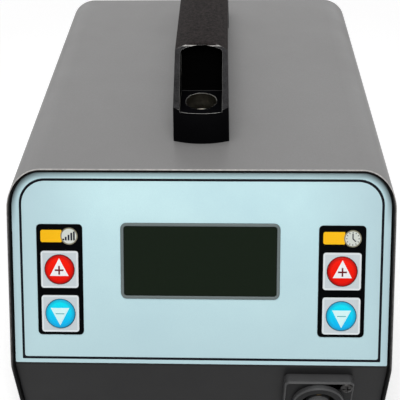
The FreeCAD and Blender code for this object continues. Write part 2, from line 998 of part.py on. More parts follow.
def contact_blank(room):
    """One straight contact strip at the top of the insert, thicker all round by a room."""
    high = insert_radius + room
    low = insert_radius - contact_thick - room
    start = socket_front + contact_setback - room
    end = socket_back + contact_tail
    shape = block(contact_width + 2 * room, high - low, 0, 0, (high + low) / 2)
    return prism(shape, front(start), along_y * (end - start))


def round_socket(shape):
    """Copies of a shape at the contact angles about the socket's own axis, carried to the socket."""
    copies = []
    for angle in contact_angles():
        turn = FreeCAD.Rotation(along_y, angle)
        place = FreeCAD.Placement(Vec(socket_middle.x, 0, socket_middle.z), turn)
        copies.append(moved(shape, place))
    return copies


def socket_body():
    """Square flange with bevelled edges, round collar and the barrel that passes through the sheet."""
    flange = prism(block(flange_width, flange_height, flange_corner, socket_middle.x, socket_middle.z),
                   front(face_y), along_y * -flange_thick)
    rim = [edge for edge in flange.Edges if abs(edge.BoundBox.YMax - face_y + flange_thick) < smallest]
    flange = flange.makeChamfer(flange_edge, rim)
    start = socket_middle - along_y * flange_thick
    edge = start - along_y * (collar_proud - collar_edge)
    collar = peg(collar_radius, start, along_y * (collar_edge - collar_proud), ring_sides)
    bevel = cone(collar_radius, collar_radius - collar_edge, edge, along_y * -collar_edge, ring_sides)
    barrel = peg(barrel_radius, socket_middle, along_y * barrel_depth, round_sides)
    body = fused([flange, collar, bevel, barrel])
    bore_end = socket_back - barrel_wall
    axis_start = Vec(socket_middle.x, socket_front - overrun, socket_middle.z)
    cuts = [peg(socket_bore, axis_start, along_y * (bore_end - axis_start.y), ring_sides)]
    key = block(key_width, 2 * key_depth, 0, socket_middle.x, socket_middle.z - socket_bore)
    cuts.append(prism(key, front(axis_start.y), along_y * (bore_end - axis_start.y)))
    for point in socket_screw_points():
        cuts.append(peg(m3_shank + screw_room, point - along_y * (flange_thick + overrun),
                        along_y * (flange_thick + 2 * overrun)))
        sink = point - along_y * (flange_thick + overrun)
        cuts.append(peg(m3_head + screw_room, sink, along_y * (m3_head_height / 2 + overrun), head_sides))
    cuts += round_socket(contact_blank(part_gap))
    return body.cut(cuts)


def socket_insert():
    """Centre boss of the socket, with grooves for the contacts and an eye in its front."""
    start = Vec(socket_middle.x, socket_front + insert_setback, socket_middle.z)
    edge = start + along_y * insert_edge
    shank = peg(insert_radius, edge, along_y * (socket_back - barrel_wall - edge.y), round_sides)
    boss = fused([shank, cone(insert_radius, insert_radius - insert_edge, edge, along_y * -insert_edge,
                              round_sides)])
    cuts = [peg(insert_eye, start - along_y * overrun, along_y * (insert_eye_depth + overrun), head_sides)]
    cuts += round_socket(contact_blank(part_gap))
    return boss.cut(cuts)


def socket_contacts():
    """Brass strips along the insert, with tails behind the barrel for the leads."""
    return group(round_socket(contact_blank(0)))


def socket_screws():
    """Screws through the corners of the flange into the front sheet."""
    depth = flange_thick - m3_head_height / 2
    screws = []
    for point in socket_screw_points():
        seat = point - along_y * depth
        screws.append(screw(m3_shank, m3_head, m3_head_height, socket_screw_length, seat, along_y * -1))
    return group(screws)


# Bridge handle
def handle_knee():
    """Height at which the inside of a leg starts to lean towards the grip."""
    tilt = math.radians(leg_slope)
    return max(handle_block - leg_wall / math.cos(tilt), 0)


def handle_side():
    """Side outline of the handle: upright blocks, sloping shoulders, a level grip and the finger gap."""
    half = handle_length / 2
    foot = half - leg_foot
    knee = handle_knee()
    gap_half = foot - (finger_clear - knee) / math.tan(math.radians(leg_slope))
    right = [
        (half, 0),
        (half, handle_block),
        (half - rim_run, handle_height, rim_round),
    ]
    inner = [
        (gap_half, finger_clear, heel_round),
        (foot, knee),
        (foot, 0),
    ]
    left = [(-point[0],) + point[1:] for point in right[::-1]]
    left_inner = [(-point[0],) + point[1:] for point in inner[::-1]]
    return right + left + left_inner + inner


def crowned_section(bottom_half, top_half, bottom, shoulder, top):
    """Front outline with straight flanks and an arched top, as a face at the middle of the handle."""
    points = [Vec(-bottom_half, 0, bottom), Vec(-top_half, 0, shoulder), Vec(top_half, 0, shoulder),
              Vec(bottom_half, 0, bottom)]
    edges = [
        Part.LineSegment(points[0], points[1]).toShape(),
        Part.Arc(points[1], Vec(0, 0, top), points[2]).toShape(),
        Part.LineSegment(points[2], points[3]).toShape(),
        Part.LineSegment(points[3], points[0]).toShape(),
    ]
    return Part.Face(Part.Wire(edges))


def bulged_plan():
    """Plan outline of the handle, straight at the sides and bowed at both ends."""
    half = handle_length / 2
    wide = handle_width / 2
    shoulder = half - end_bulge
    edges = [
        Part.LineSegment(Vec(wide, -shoulder, 0), Vec(wide, shoulder, 0)).toShape(),
        Part.Arc(Vec(wide, shoulder, 0), Vec(0, half, 0), Vec(-wide, shoulder, 0)).toShape(),
        Part.LineSegment(Vec(-wide, shoulder, 0), Vec(-wide, -shoulder, 0)).toShape(),
        Part.Arc(Vec(-wide, -shoulder, 0), Vec(0, -half, 0), Vec(wide, -shoulder, 0)).toShape(),
    ]
    return Part.Face(Part.Wire(edges))


def is_along_y(edge):
    """Whether an edge is a straight run from front to rear."""
    run = edge.Vertexes[-1].Point - edge.Vertexes[0].Point
    return run.cross(along_y).Length < run.Length / 2


def handle_pocket():
    """Open pocket behind the front shoulder, with a level floor and a leaning rear wall."""
    half = handle_length / 2
    ceiling = handle_height - handle_skin
    lean_run = (ceiling - handle_block) / math.tan(math.radians(leg_slope))
    wall = [
        (-half - overrun, handle_block),
        (-half + pocket_run, handle_block),
        (-half + pocket_run + lean_run, ceiling),
        (-half - overrun, ceiling),
    ]
    hollow = prism(wall, side(-pocket_width / 2), along_x * pocket_width)
    half_width = pocket_width / 2
    shape = crowned_section(half_width, half_width, handle_block, ceiling - pocket_crown, ceiling)
    shape.translate(along_y * (-half - overrun))
    roof = shape.extrude(along_y * half)
    corners = [edge for edge in roof.Edges if is_along_y(edge) and edge.BoundBox.ZMin > handle_block]
    return hollow.common(roof.makeFillet(pocket_corner, corners))


def handle():
    """Moulded bridge handle with a crowned grip, and at each end an open pocket for its bolt."""
    body = prism(handle_side(), side(-handle_width), along_x * (2 * handle_width))
    section = crowned_section(handle_width / 2, grip_width / 2, 0, handle_height - grip_crown, handle_height)
    section.translate(along_y * -handle_length)
    body = body.common(section.extrude(along_y * (2 * handle_length)))
    body = body.common(bulged_plan().extrude(along_z * handle_height))
    pocket = handle_pocket()
    cuts = [pocket, pocket.mirror(Vec(0, 0, 0), along_y)]
    for way in (-1, 1):
        middle = Vec(0, way * handle_pitch / 2, 0)
        up = along_z * (handle_block + 2 * overrun)
        cuts.append(peg(m6_shank + bolt_room, middle - along_z * overrun, up))
        floor = middle + along_z * (handle_block - counterbore_depth)
        cuts.append(rod(counterbore_radius, floor, along_z * (counterbore_depth + overrun)))
    body = body.cut(cuts)
    return moved(body, FreeCAD.Placement(Vec(0, top_middle_y, case_top), FreeCAD.Rotation()))


def handle_screws():
    """Bolts with captive washers, down through the handle's legs and the top of the cover."""
    screws = []
    for point in handle_bolt_points():
        floor = point + along_z * (handle_block - counterbore_depth)
        washer = peg(handle_washer_radius, floor, along_z * handle_washer_thick, round_sides)
        seat = floor + along_z * handle_washer_thick
        length = seat.z - case_top + cover_sheet + m6_shank * nut_height_share + part_gap
        screws.append(fused([washer, screw(m6_shank, m6_head, m6_head_height, length, seat, along_z)]))
    return group(screws)


def handle_nuts():
    """Nuts on the handle's bolts, against the underside of the cover."""
    seats = [point - along_z * cover_sheet for point in handle_bolt_points()]
    return group([nut(m6_shank, seat, along_z * -1) for seat in seats])


# Fan on the rear panel
fan_column = fan_side_gap + (fan_size - case_width) / 2
fan_middle = Vec(fan_column, rear_y, (pan_top + inner_top) / 2)
fan_front_y = rear_y - fold_sheet - fan_depth
fan_back_y = rear_y - fold_sheet


def fan_screw_points():
    """Where the four fan screws pass through the rear sheet."""
    half = fan_screw_pitch / 2
    return [fan_middle + Vec(x, 0, z) for x in (-half, half) for z in (-half, half)]


def fan_plate():
    """Square outline of the fan's flanges with cut corners."""
    half = fan_size / 2
    cut = half - fan_corner
    corners = [
        (half, cut), (cut, half), (-cut, half), (-half, cut),
        (-half, -cut), (-cut, -half), (cut, -half), (half, -cut),
    ]
    return [(fan_middle.x + across, fan_middle.z + up) for across, up in corners]


def fan_frame():
    """Two square flanges joined by a round duct, with the motor's seat on struts at the inner end."""
    front_flange = prism(fan_plate(), front(fan_front_y), along_y * fan_flange)
    back_flange = prism(fan_plate(), front(fan_back_y), along_y * -fan_flange)
    axis_start = Vec(fan_middle.x, fan_front_y, fan_middle.z)
    duct = peg(fan_bore + fan_wall, axis_start, along_y * fan_depth, ring_sides)
    body = fused([front_flange, back_flange, duct])
    through = along_y * (fan_depth + 2 * overrun)
    body = body.cut(peg(fan_bore, axis_start - along_y * overrun, through, ring_sides))
    pieces = [body, peg(fan_hub_radius, axis_start, along_y * fan_strut_thick, round_sides)]
    for index in range(fan_strut_count):
        reach = fan_bore + fan_wall / 2
        strut = prism(block(reach, fan_strut_width, 0, reach / 2, 0), front(fan_front_y),
                      along_y * fan_strut_thick)
        turn = FreeCAD.Rotation(along_y, 45 + 360 * index / fan_strut_count)
        pieces.append(moved(strut, FreeCAD.Placement(Vec(fan_middle.x, 0, fan_middle.z), turn)))
    body = fused(pieces)
    cuts = [rod(fan_shaft_radius + fan_shaft_fit, axis_start - along_y * overrun, along_y * fan_depth)]
    for point in fan_screw_points():
        start = Vec(point.x, fan_front_y - overrun, point.z)
        cuts.append(peg(m4_shank + screw_room, start, along_y * (fan_depth + 2 * overrun)))
    return body.cut(cuts)


def fan_blade():
    """Cambered blade along X from the hub past the tip, its chord pitched to the plane of rotation."""
    turn = math.radians(blade_pitch)
    rise = blade_chord * blade_camber_share
    half = blade_chord / 2
    thin = blade_thick / 2

    def spot(along, up):
        tangent = along * math.cos(turn) - up * math.sin(turn)
        axial = along * math.sin(turn) + up * math.cos(turn)
        return Vec(fan_hub_radius - fan_hub_wall, axial, tangent)

    camber = [(-1, 0), (-1 / 3, 8 / 9), (1 / 3, 8 / 9), (1, 0)]
    face = [spot(along * half, up * rise + thin) for along, up in camber]
    back = [spot(along * half, up * rise - thin) for along, up in camber]
    section = Part.makePolygon(face + back[::-1] + [face[0]])
    return Part.Face(section).extrude(along_x * (fan_bore - fan_hub_radius + fan_wall))


def fan_rotor():
    """Hub cup with a short shaft and pitched, cambered blades trimmed to a circle."""
    start = fan_strut_thick + fan_hub_gap
    end = start + fan_hub_depth
    cup = peg(fan_hub_radius, Vec(0, start, 0), along_y * fan_hub_depth, round_sides)
    hollow = peg(fan_hub_radius - fan_hub_wall, Vec(0, start - overrun, 0),
                 along_y * (fan_hub_depth - fan_hub_wall + overrun), round_sides)
    shaft = rod(fan_shaft_radius, Vec(0, part_gap, 0), along_y * (end - part_gap))
    swept = peg(fan_bore - blade_tip_gap, Vec(0, start, 0), along_y * fan_hub_depth, ring_sides)
    core = peg(fan_hub_radius - fan_hub_wall / 2, Vec(0, 0, 0), along_y * (end + overrun), round_sides)
    swept = swept.cut(core)
    pieces = [cup.cut(hollow), shaft]
    for index in range(blade_count):
        turn = FreeCAD.Rotation(along_y, 360 * index / blade_count)
        place = FreeCAD.Placement(Vec(0, start + fan_hub_depth / 2, 0), turn)
        pieces.append(moved(fan_blade(), place).common(swept))
    rotor = fused(pieces)
    return moved(rotor, FreeCAD.Placement(Vec(fan_middle.x, fan_front_y, fan_middle.z), FreeCAD.Rotation()))


def fan_guard():
    """Finger guard: concentric rings welded on four arms that step down to flat eyes under the screws."""
    wire = 2 * guard_wire
    ring_y = guard_proud - wire
    eye_reach = fan_screw_pitch / math.sqrt(2)
    ring_step = (fan_bore - guard_wire) / guard_ring_count
    pieces = []
    for index in range(guard_ring_count):
        radius = ring_step * (index + 1)
        outer = peg(radius + guard_wire, Vec(0, ring_y, 0), along_y * wire, guard_sides)
        through = along_y * (2 * overrun + wire)
        inner = peg(radius - guard_wire, Vec(0, ring_y - overrun, 0), through, guard_sides)
        pieces.append(outer.cut(inner))
    path = [
        (ring_step - guard_wire, ring_y - wire),
        (fan_bore + guard_wire, ring_y - wire),
        (eye_reach - guard_eye_radius, 0),
        (eye_reach - m4_head, 0),
    ]
    for index in range(4):
        turn = FreeCAD.Rotation(along_y, 45 + 90 * index)
        arm = prism(strip(path, wire, 0), plan(-guard_wire), along_z * wire)
        eye = peg(guard_eye_radius, Vec(eye_reach, 0, 0), along_y * guard_eye_thick, head_sides)
        through = along_y * (guard_eye_thick + 2 * overrun)
        hole = peg(m4_shank + screw_room, Vec(eye_reach, -overrun, 0), through, head_sides)
        pieces.append(moved(fused([arm, eye]).cut(hole), FreeCAD.Placement(Vec(0, 0, 0), turn)))
    return moved(fused(pieces), FreeCAD.Placement(fan_middle, FreeCAD.Rotation()))


def fan_screws():
    """Screws through the guard's eyes and the rear sheet into the fan."""
    screws = []
    for point in fan_screw_points():
        seat = point + along_y * guard_eye_thick
        screws.append(screw(m4_shank, m4_head, m4_head_height, fan_screw_length, seat, along_y))
    return group(screws)


# Mains inlet with its fuse drawer
inlet_middle = Vec(inlet_column, rear_y, case_bottom + inlet_level)
inlet_face_y = rear_y + inlet_flange_thick
cavity_z = inlet_middle.z - inlet_flange_height / 2 + 2 * inlet_wall + cavity_height / 2
drawer_z = inlet_middle.z + inlet_flange_height / 2 - 2 * inlet_wall - drawer_height / 2


def inlet_screw_points():
    """Where the inlet's two screws pass, left and right of its body."""
    half = inlet_screw_pitch / 2
    return [inlet_middle - along_x * half, inlet_middle + along_x * half]


def pin_blank(across, up, room):
    """One flat pin from its setback in the cavity to its tail behind the body, thicker by a room."""
    start = inlet_face_y - pin_setback + room
    end = rear_y - inlet_body_depth - pin_tail_length
    shape = block(pin_thick + 2 * room, pin_width + 2 * room, 0, inlet_middle.x + across, cavity_z + up)
    return prism(shape, front(end), along_y * (start - end))


def pin_places():
    """Offsets of the live, neutral and earth pins from the middle of the cavity."""
    return [(-pin_pitch / 2, -pin_offset), (pin_pitch / 2, -pin_offset), (0, pin_offset)]


def inlet_body():
    """Flanged moulding with a chamfered plug cavity below and a drawer slot above."""
    flange = prism(block(inlet_flange_width, inlet_flange_height, inlet_flange_corner, inlet_middle.x,
                         inlet_middle.z), front(rear_y), along_y * inlet_flange_thick)
    rim = [edge for edge in flange.Edges if abs(edge.BoundBox.YMin - inlet_face_y) < smallest]
    flange = flange.makeChamfer(flange_edge, rim)
    body_height = inlet_flange_height - 2 * inlet_wall - 2 * slip
    barrel = prism(block(inlet_body_width, body_height, 0, inlet_middle.x, inlet_middle.z), front(rear_y),
                   along_y * -inlet_body_depth)
    body = fused([flange, barrel])
    half = cavity_width / 2
    low = cavity_z - cavity_height / 2
    high = cavity_z + cavity_height / 2
    mouth = [
        (inlet_middle.x - half, low, flange_edge),
        (inlet_middle.x + half, low, flange_edge),
        (inlet_middle.x + half, high - cavity_chamfer),
        (inlet_middle.x + half - cavity_chamfer, high),
        (inlet_middle.x - half + cavity_chamfer, high),
        (inlet_middle.x - half, high - cavity_chamfer),
    ]
    cuts = [prism(mouth, front(inlet_face_y + overrun), along_y * -(cavity_depth + overrun))]
    room = 2 * drawer_room
    slot = block(drawer_width + room, drawer_height + room, 0, inlet_middle.x, drawer_z)
    inward = along_y * -(drawer_depth + drawer_room + overrun)
    cuts.append(prism(slot, front(inlet_face_y + overrun), inward))
    for across, up in pin_places():
        cuts.append(pin_blank(across, up, part_gap / 2))
    for point in inlet_screw_points():
        cuts.append(peg(m3_shank + screw_room, point - along_y * overrun,
                        along_y * (inlet_flange_thick + 2 * overrun)))
    return body.cut(cuts)


def inlet_pins():
    """Three flat pins with solder tails."""
    return group([pin_blank(across, up, 0) for across, up in pin_places()])


def inlet_screws():
    """Screws that hold the inlet to the rear sheet."""
    length = inlet_flange_thick + 2 * fold_sheet + m3_head_height
    screws = []
    for point in inlet_screw_points():
        seat = point + along_y * inlet_flange_thick
        screws.append(screw(m3_shank, m3_head, m3_head_height, length, seat, along_y))
    return group(screws)


def fuse_drawer():
    """Sliding tray with a trough for the fuse and a finger pull on its face."""
    tray = prism(block(drawer_width, drawer_height, 0, inlet_middle.x, drawer_z), front(inlet_face_y),
                 along_y * -drawer_depth)
    pull = prism(block(drawer_width / 2, drawer_height / 2, 0, inlet_middle.x, drawer_z),
                 front(inlet_face_y), along_y * drawer_pull)
    body = fused([tray, pull])
    room = fuse_cap_radius + part_gap
    middle = Vec(inlet_middle.x - fuse_length / 2 - part_gap, inlet_face_y - fuse_setback, drawer_z)
    trough = rod(room, middle, along_x * (fuse_length + 2 * part_gap))
    top = prism(block(fuse_length + 2 * part_gap, drawer_height, 0, inlet_middle.x,
                      drawer_z + drawer_height / 2), front(middle.y - room), along_y * (2 * room))
    notch_depth = drawer_pull + overrun
    notch = prism(block(drawer_width / 4, drawer_height / 4, 0, inlet_middle.x, drawer_z),
                  front(inlet_face_y + drawer_pull + overrun), along_y * -(notch_depth + drawer_pull / 2))
    return body.cut([trough, top, notch])


def mains_fuse():
    """Glass tube fuse with metal end caps, lying across the drawer."""
    start = Vec(inlet_middle.x - fuse_length / 2, inlet_face_y - fuse_setback, drawer_z)
    tube = peg(fuse_radius, start, along_x * fuse_length)
    left = peg(fuse_cap_radius, start, along_x * fuse_cap_length)
    right_start = start + along_x * (fuse_length - fuse_cap_length)
    right = peg(fuse_cap_radius, right_start, along_x * fuse_cap_length)
    return fused([tube, left, right])


# Rocker switch
switch_middle = Vec(inlet_column, rear_y, case_bottom + switch_level)
rocker_dip = rocker_length / 2 * math.tan(math.radians(rocker_tilt))
rocker_pivot = switch_middle + along_y * (switch_bezel + rocker_flush - rocker_middle)


def switch_housing():
    """Snap-in switch body with a bezel, an open mouth for the rocker and bores for its trunnions."""
    bezel = prism(block(switch_width, switch_height, 0, switch_middle.x, switch_middle.z),
                  front(rear_y), along_y * switch_bezel)
    body = prism(block(switch_body_width, switch_body_height, 0, switch_middle.x, switch_middle.z),
                 front(rear_y), along_y * -switch_body_depth)
    housing = fused([bezel, body])
    mouth = block(rocker_width + 2 * rocker_room, rocker_length + 2 * rocker_room, 0, switch_middle.x,
                  switch_middle.z)
    depth = rocker_belly + rocker_middle + overrun
    cuts = [prism(mouth, front(rear_y + switch_bezel + overrun), along_y * -(depth + overrun))]
    reach = rocker_width / 2 + trunnion_length + part_gap
    cuts.append(rod(trunnion_radius + trunnion_fit, rocker_pivot - along_x * reach, along_x * (2 * reach)))
    return housing.cut(cuts)


def switch_tabs():
    """Two blade terminals behind the switch."""
    tabs = []
    for up in (-switch_body_height / 4, switch_body_height / 4):
        shape = block(tab_width, tab_thick, 0, switch_middle.x, switch_middle.z + up)
        tabs.append(prism(shape, front(rear_y - switch_body_depth), along_y * -switch_tail))
    return group(tabs)


def power_rocker():
    """Rocker with two faces that dip to the middle, a belly and trunnions, tilted to one side."""
    half = rocker_length / 2
    lip = math.sqrt(half ** 2 - (rocker_middle + rocker_dip) ** 2)
    waist = math.sqrt(half ** 2 - rocker_flank ** 2)
    points = [
        (rocker_middle, 0),
        (rocker_middle + rocker_dip, lip),
        (rocker_flank, waist),
        (-rocker_flank, waist),
        (-rocker_belly, half / 2),
        (-rocker_belly, -half / 2),
        (-rocker_flank, -waist),
        (rocker_flank, -waist),
        (rocker_middle + rocker_dip, -lip),
    ]
    body = prism(points, side(-rocker_width / 2), along_x * rocker_width)
    reach = rocker_width / 2 + trunnion_length
    pins = rod(trunnion_radius, along_x * -reach, along_x * (2 * reach))
    rocker = fused([body, pins])
    return moved(rocker, FreeCAD.Placement(rocker_pivot, FreeCAD.Rotation(along_x, -rocker_tilt)))


# Power board on the base pan
def power_spot(shares, level=power_face):
    """Point on the power board at shares of its width and length."""
    return Vec(power_left + power_width * shares[0], power_front + power_length * shares[1], level)


def power_stud_points():
    """Middle of each standoff under the power board."""
    points = []
    for x in (power_left + stud_inset, power_left + power_width - stud_inset):
        for y in (power_front + stud_inset, power_front + power_length - stud_inset):
            points.append(Vec(x, y, pan_top))
    return points


def power_board():
    """Main board on its standoffs, with the headers for the ribbon and for the fan."""
    middle = (power_left + power_width / 2, power_front + power_length / 2)
    pieces = [prism(block(power_width, power_length, 0, middle[0], middle[1]), plan(power_under),
                    along_z * board_thick)]
    for shares, width in ((header_place_shares, header_width), (fan_header_place_shares, fan_header_width)):
        spot = power_spot(shares)
        shape = block(width, header_depth, 0, spot.x, spot.y)
        pieces.append(prism(shape, plan(spot.z), along_z * header_height))
    cuts = []
    for point in power_stud_points():
        cuts.append(peg(m3_shank + screw_room, point, along_z * (power_gap + board_thick + overrun)))
    return fused(pieces).cut(cuts)


def bulk_capacitors():
    """Two tall can capacitors."""
    spots = [power_spot(shares) for shares in capacitor_places_shares]
    return group([peg(capacitor_radius, spot, along_z * capacitor_height, round_sides) for spot in spots])


def resonant_capacitors():
    """Row of moulded film capacitors across the board."""
    boxes = []
    for shares in film_places_shares:
        spot = power_spot(shares)
        shape = block(film_width, film_depth, 0, spot.x, spot.y)
        boxes.append(prism(shape, plan(spot.z), along_z * film_height))
    return group(boxes)


def transformer_core():
    """Pair of ferrite E halves: two outer legs, a centre leg and the yokes across them."""
    spot = power_spot(core_place_shares)
    body = prism(block(core_width, core_height, 0, spot.x, spot.z + core_height / 2),
                 front(spot.y - core_depth / 2), along_y * core_depth)
    height = core_height - 2 * core_leg
    window_width = core_width / 2 - 2 * core_leg
    cuts = []
    for way in (-1, 1):
        across = way * (core_leg + window_width / 2)
        cuts.append(prism(block(window_width, height, 0, spot.x + across, spot.z + core_height / 2),
                          front(spot.y - core_depth), along_y * (2 * core_depth)))
    return body.cut(cuts)


def transformer_winding():
    """Copper winding round the centre leg, drawn as one coil of the outer size."""
    spot = power_spot(core_place_shares)
    half_leg = core_leg + winding_gap
    height = core_height - 2 * core_leg - 2 * winding_gap
    half_depth = core_depth / 2 + winding_gap
    wide = half_leg + winding_build
    deep = half_depth + winding_build
    corners = [(wide, half_depth), (half_leg, deep), (-half_leg, deep), (-wide, half_depth),
               (-wide, -half_depth), (-half_leg, -deep), (half_leg, -deep), (wide, -half_depth)]
    outer = [(spot.x + across, spot.y + along) for across, along in corners]
    inner = block(2 * half_leg, 2 * half_depth, 0, spot.x, spot.y)
    low = spot.z + core_leg + winding_gap
    coil = prism(outer, plan(low), along_z * height)
    return coil.cut(prism(inner, plan(low - overrun), along_z * (height + 2 * overrun)))


def mains_choke():
    """Mains choke: an upright frame core with a coil round each of its two legs."""
    spot = power_spot(choke_place_shares)
    middle = spot.z + choke_height / 2
    core = prism(block(choke_width, choke_height, 0, spot.x, middle), front(spot.y - choke_depth / 2),
                 along_y * choke_depth)
    window = block(choke_width - 2 * choke_leg, choke_height - 2 * choke_leg, 0, spot.x, middle)
    core = core.cut(prism(window, front(spot.y - choke_depth), along_y * (2 * choke_depth)))
    pieces = [core]
    for way in (-1, 1):
        across = spot.x + way * (choke_width - choke_leg) / 2
        coil = block(choke_leg + 2 * choke_coil, choke_depth + 2 * choke_coil, 0, across, spot.y)
        pieces.append(prism(coil, plan(spot.z + choke_leg), along_z * (choke_height - 2 * choke_leg)))
    return fused(pieces)


def inrush_relay():
    """Relay that bridges the inrush resistor once the capacitors are charged."""
    spot = power_spot(relay_place_shares)
    return prism(block(relay_depth, relay_width, 0, spot.x, spot.y), plan(spot.z), along_z * relay_height)


def output_posts():
    """Two brass blocks on the board that take the output leads."""
    posts = []
    for shares in post_places_shares:
        spot = power_spot(shares)
        shape = block(post_size, post_size, 0, spot.x, spot.y)
        posts.append(prism(shape, plan(spot.z), along_z * post_height))
    return group(posts)


def mains_terminal():
    """Terminal block at the board's rear edge that takes the switched mains."""
    spot = power_spot(terminal_place_shares)
    return prism(block(terminal_width, terminal_depth, 0, spot.x, spot.y), plan(spot.z),
                 along_z * terminal_height)


# Heatsink and the parts bolted to it
def heatsink():
    """Extruded heatsink: an upright base with level fins that reach away from the power board."""
    y = power_front
    base = prism(block(sink_base, sink_height, 0, sink_face_x - sink_base / 2, pan_top + sink_height / 2),
                 front(y), along_y * sink_length)
    pieces = [base]
    pitch = (sink_height - sink_fin) / (sink_fin_count - 1)
    for index in range(sink_fin_count):
        level = pan_top + sink_fin / 2 + index * pitch
        middle = sink_face_x - sink_base - sink_fin_reach / 2
        fin = prism(block(sink_fin_reach, sink_fin, 0, middle, level), front(y), along_y * sink_length)
        pieces.append(fin)
    return fused(pieces)


def power_transistors():
    """Transistors flat against the heatsink, each with three legs down to the board."""
    devices = []
    for share in transistor_places_shares:
        y = power_front + power_length * share
        low = power_face + transistor_lift
        body = prism(block(transistor_width, transistor_height, 0, y, low + transistor_height / 2),
                     side(sink_face_x), along_x * transistor_thick)
        hole_z = low + transistor_height * 3 / 4
        body = body.cut(peg(transistor_hole, Vec(sink_face_x - overrun, y, hole_z),
                            along_x * (transistor_thick + 2 * overrun)))
        pieces = [body]
        leg_height = transistor_lift + transistor_leg
        for step in (-1, 0, 1):
            shape = block(transistor_leg, leg_height, 0, y + step * transistor_leg_pitch,
                          power_face + leg_height / 2)
            leg = prism(shape, side(sink_face_x + transistor_thick / 2), along_x * transistor_leg_thick)
            pieces.append(leg)
        devices.append(fused(pieces))
    return group(devices)


def bridge_rectifier():
    """Flat rectifier bridge against the heatsink, with four legs down to the board."""
    y = power_front + power_length * rectifier_place_share
    low = power_face + transistor_lift
    body = prism(block(rectifier_width, rectifier_height, 0, y, low + rectifier_height / 2),
                 side(sink_face_x), along_x * rectifier_thick)
    pieces = [body]
    leg_height = transistor_lift + transistor_leg
    for step in (-3 / 2, -1 / 2, 1 / 2, 3 / 2):
        shape = block(transistor_leg, leg_height, 0, y + step * transistor_leg_pitch,
                      power_face + leg_height / 2)
        leg = prism(shape, side(sink_face_x + rectifier_thick / 2), along_x * transistor_leg_thick)
        pieces.append(leg)
    return fused(pieces)


# Inside wiring
ribbon_column = power_spot(header_place_shares).x
header_row = control_row + control_height / 2 - stud_inset - header_depth


def output_leads():
    """Two heavy leads from the board's posts forward to the socket's upper and lower contacts."""
    leads = []
    for shares, way in zip(post_places_shares, (-1, 1)):
        post = power_spot(shares, power_face + post_height + output_lead_radius)
        tail = Vec(socket_middle.x + way * (insert_radius - contact_thick / 2),
                   socket_back + contact_tail, socket_middle.z)
        points = [
            Vec(tail.x, tail.y, tail.z),
            Vec(tail.x, tail.y + lead_reach, tail.z),
            Vec(post.x, post.y - post_size, post.z),
            Vec(post.x, post.y + post_size / 2, post.z),
        ]
        leads.append(lead(points, output_lead_radius, lead_bend))
    return leads


def pin_tail(index):
    """Rear end of an inlet pin: live, neutral or earth."""
    across, up = pin_places()[index]
    return Vec(inlet_middle.x + across, rear_y - inlet_body_depth - pin_tail_length, cavity_z + up)


def mains_leads():
    """Live to the switch, switched live to the terminal block, and neutral straight to that block."""
    terminal = power_spot(terminal_place_shares)
    entry_y = terminal.y + terminal_depth / 2
    entry_z = terminal.z + terminal_height / 2
    behind_y = entry_y + lead_bend + mains_lead_radius
    upper = Vec(switch_middle.x, rear_y - switch_body_depth - switch_tail,
                switch_middle.z + switch_body_height / 4)
    lower = Vec(upper.x, upper.y, switch_middle.z - switch_body_height / 4)
    neutral = pin_tail(0)
    live = pin_tail(1)
    live_run = [
        live,
        live - along_y * lead_reach,
        Vec(upper.x, live.y - lead_reach, upper.z),
        upper,
    ]
    switched_run = [
        lower,
        Vec(lower.x, behind_y, lower.z),
        Vec(terminal.x - terminal_width / 4, behind_y, entry_z),
        Vec(terminal.x - terminal_width / 4, entry_y, entry_z),
    ]
    neutral_run = [
        neutral,
        neutral - along_y * lead_bend * 5 / 4,
        Vec(terminal.x + terminal_width / 4, behind_y, (neutral.z + upper.z) / 2),
        Vec(terminal.x + terminal_width / 4, behind_y, entry_z),
        Vec(terminal.x + terminal_width / 4, entry_y, entry_z),
    ]
    runs = (live_run, switched_run, neutral_run)
    return [lead(run, mains_lead_radius, lead_bend * 3 / 4) for run in runs]


earth_spot = Vec(case_width / 2 - earth_side_gap, rear_y - earth_inset, pan_top)


def earth_stud():
    """Welded stud on the pan for the earth lead."""
    return peg(earth_stud_radius, earth_spot, along_z * earth_stud_height)


def earth_lead():
    """Lead from the inlet's earth pin down to the stud on the pan."""
    start = pin_tail(2)
    run_y = earth_spot.y - lead_reach
    low = earth_spot.z + earth_stud_height * 3 / 4
    points = [
        start,
        start - along_y * lead_bend * 3 / 2,
        Vec(earth_spot.x, run_y, start.z + lead_bend),
        Vec(earth_spot.x, run_y, low),
        Vec(earth_spot.x, earth_spot.y - earth_stud_radius, low),
    ]
    return lead(points, mains_lead_radius, lead_bend * 3 / 4)


def fan_lead():
    """Thin lead from the fan's frame to its header on the power board."""
    header = power_spot(fan_header_place_shares)
    entry = Vec(header.x, header.y + header_depth / 2, header.z + header_height / 2)
    across, up = fan_lead_exit_shares
    start = Vec(fan_middle.x + fan_size * across, fan_front_y, fan_middle.z + fan_size * up)
    middle_y = (start.y + entry.y) / 2
    points = [start, Vec(start.x, middle_y, start.z), Vec(entry.x, middle_y, entry.z), entry]
    return lead(points, fan_lead_radius, lead_bend * 3 / 4)


def wiring_harness():
    """All the loose leads inside the case."""
    return group(output_leads() + mains_leads() + [earth_lead(), fan_lead()])


def panel_ribbon():
    """Flat ribbon from the control board's header down to the power board's header."""
    start = panel_place.multVec(Vec(0, -header_row, board_face - board_thick - header_height))
    spot = power_spot(header_place_shares, power_face + header_height)
    bend_at = start.z - (spot.y - start.y) * math.tan(lean)
    points = [(start.y, start.z), (spot.y, bend_at), (spot.y, spot.z)]
    return prism(strip(points, ribbon_thick, ribbon_bend), side(ribbon_column - ribbon_width / 2),
                 along_x * ribbon_width)


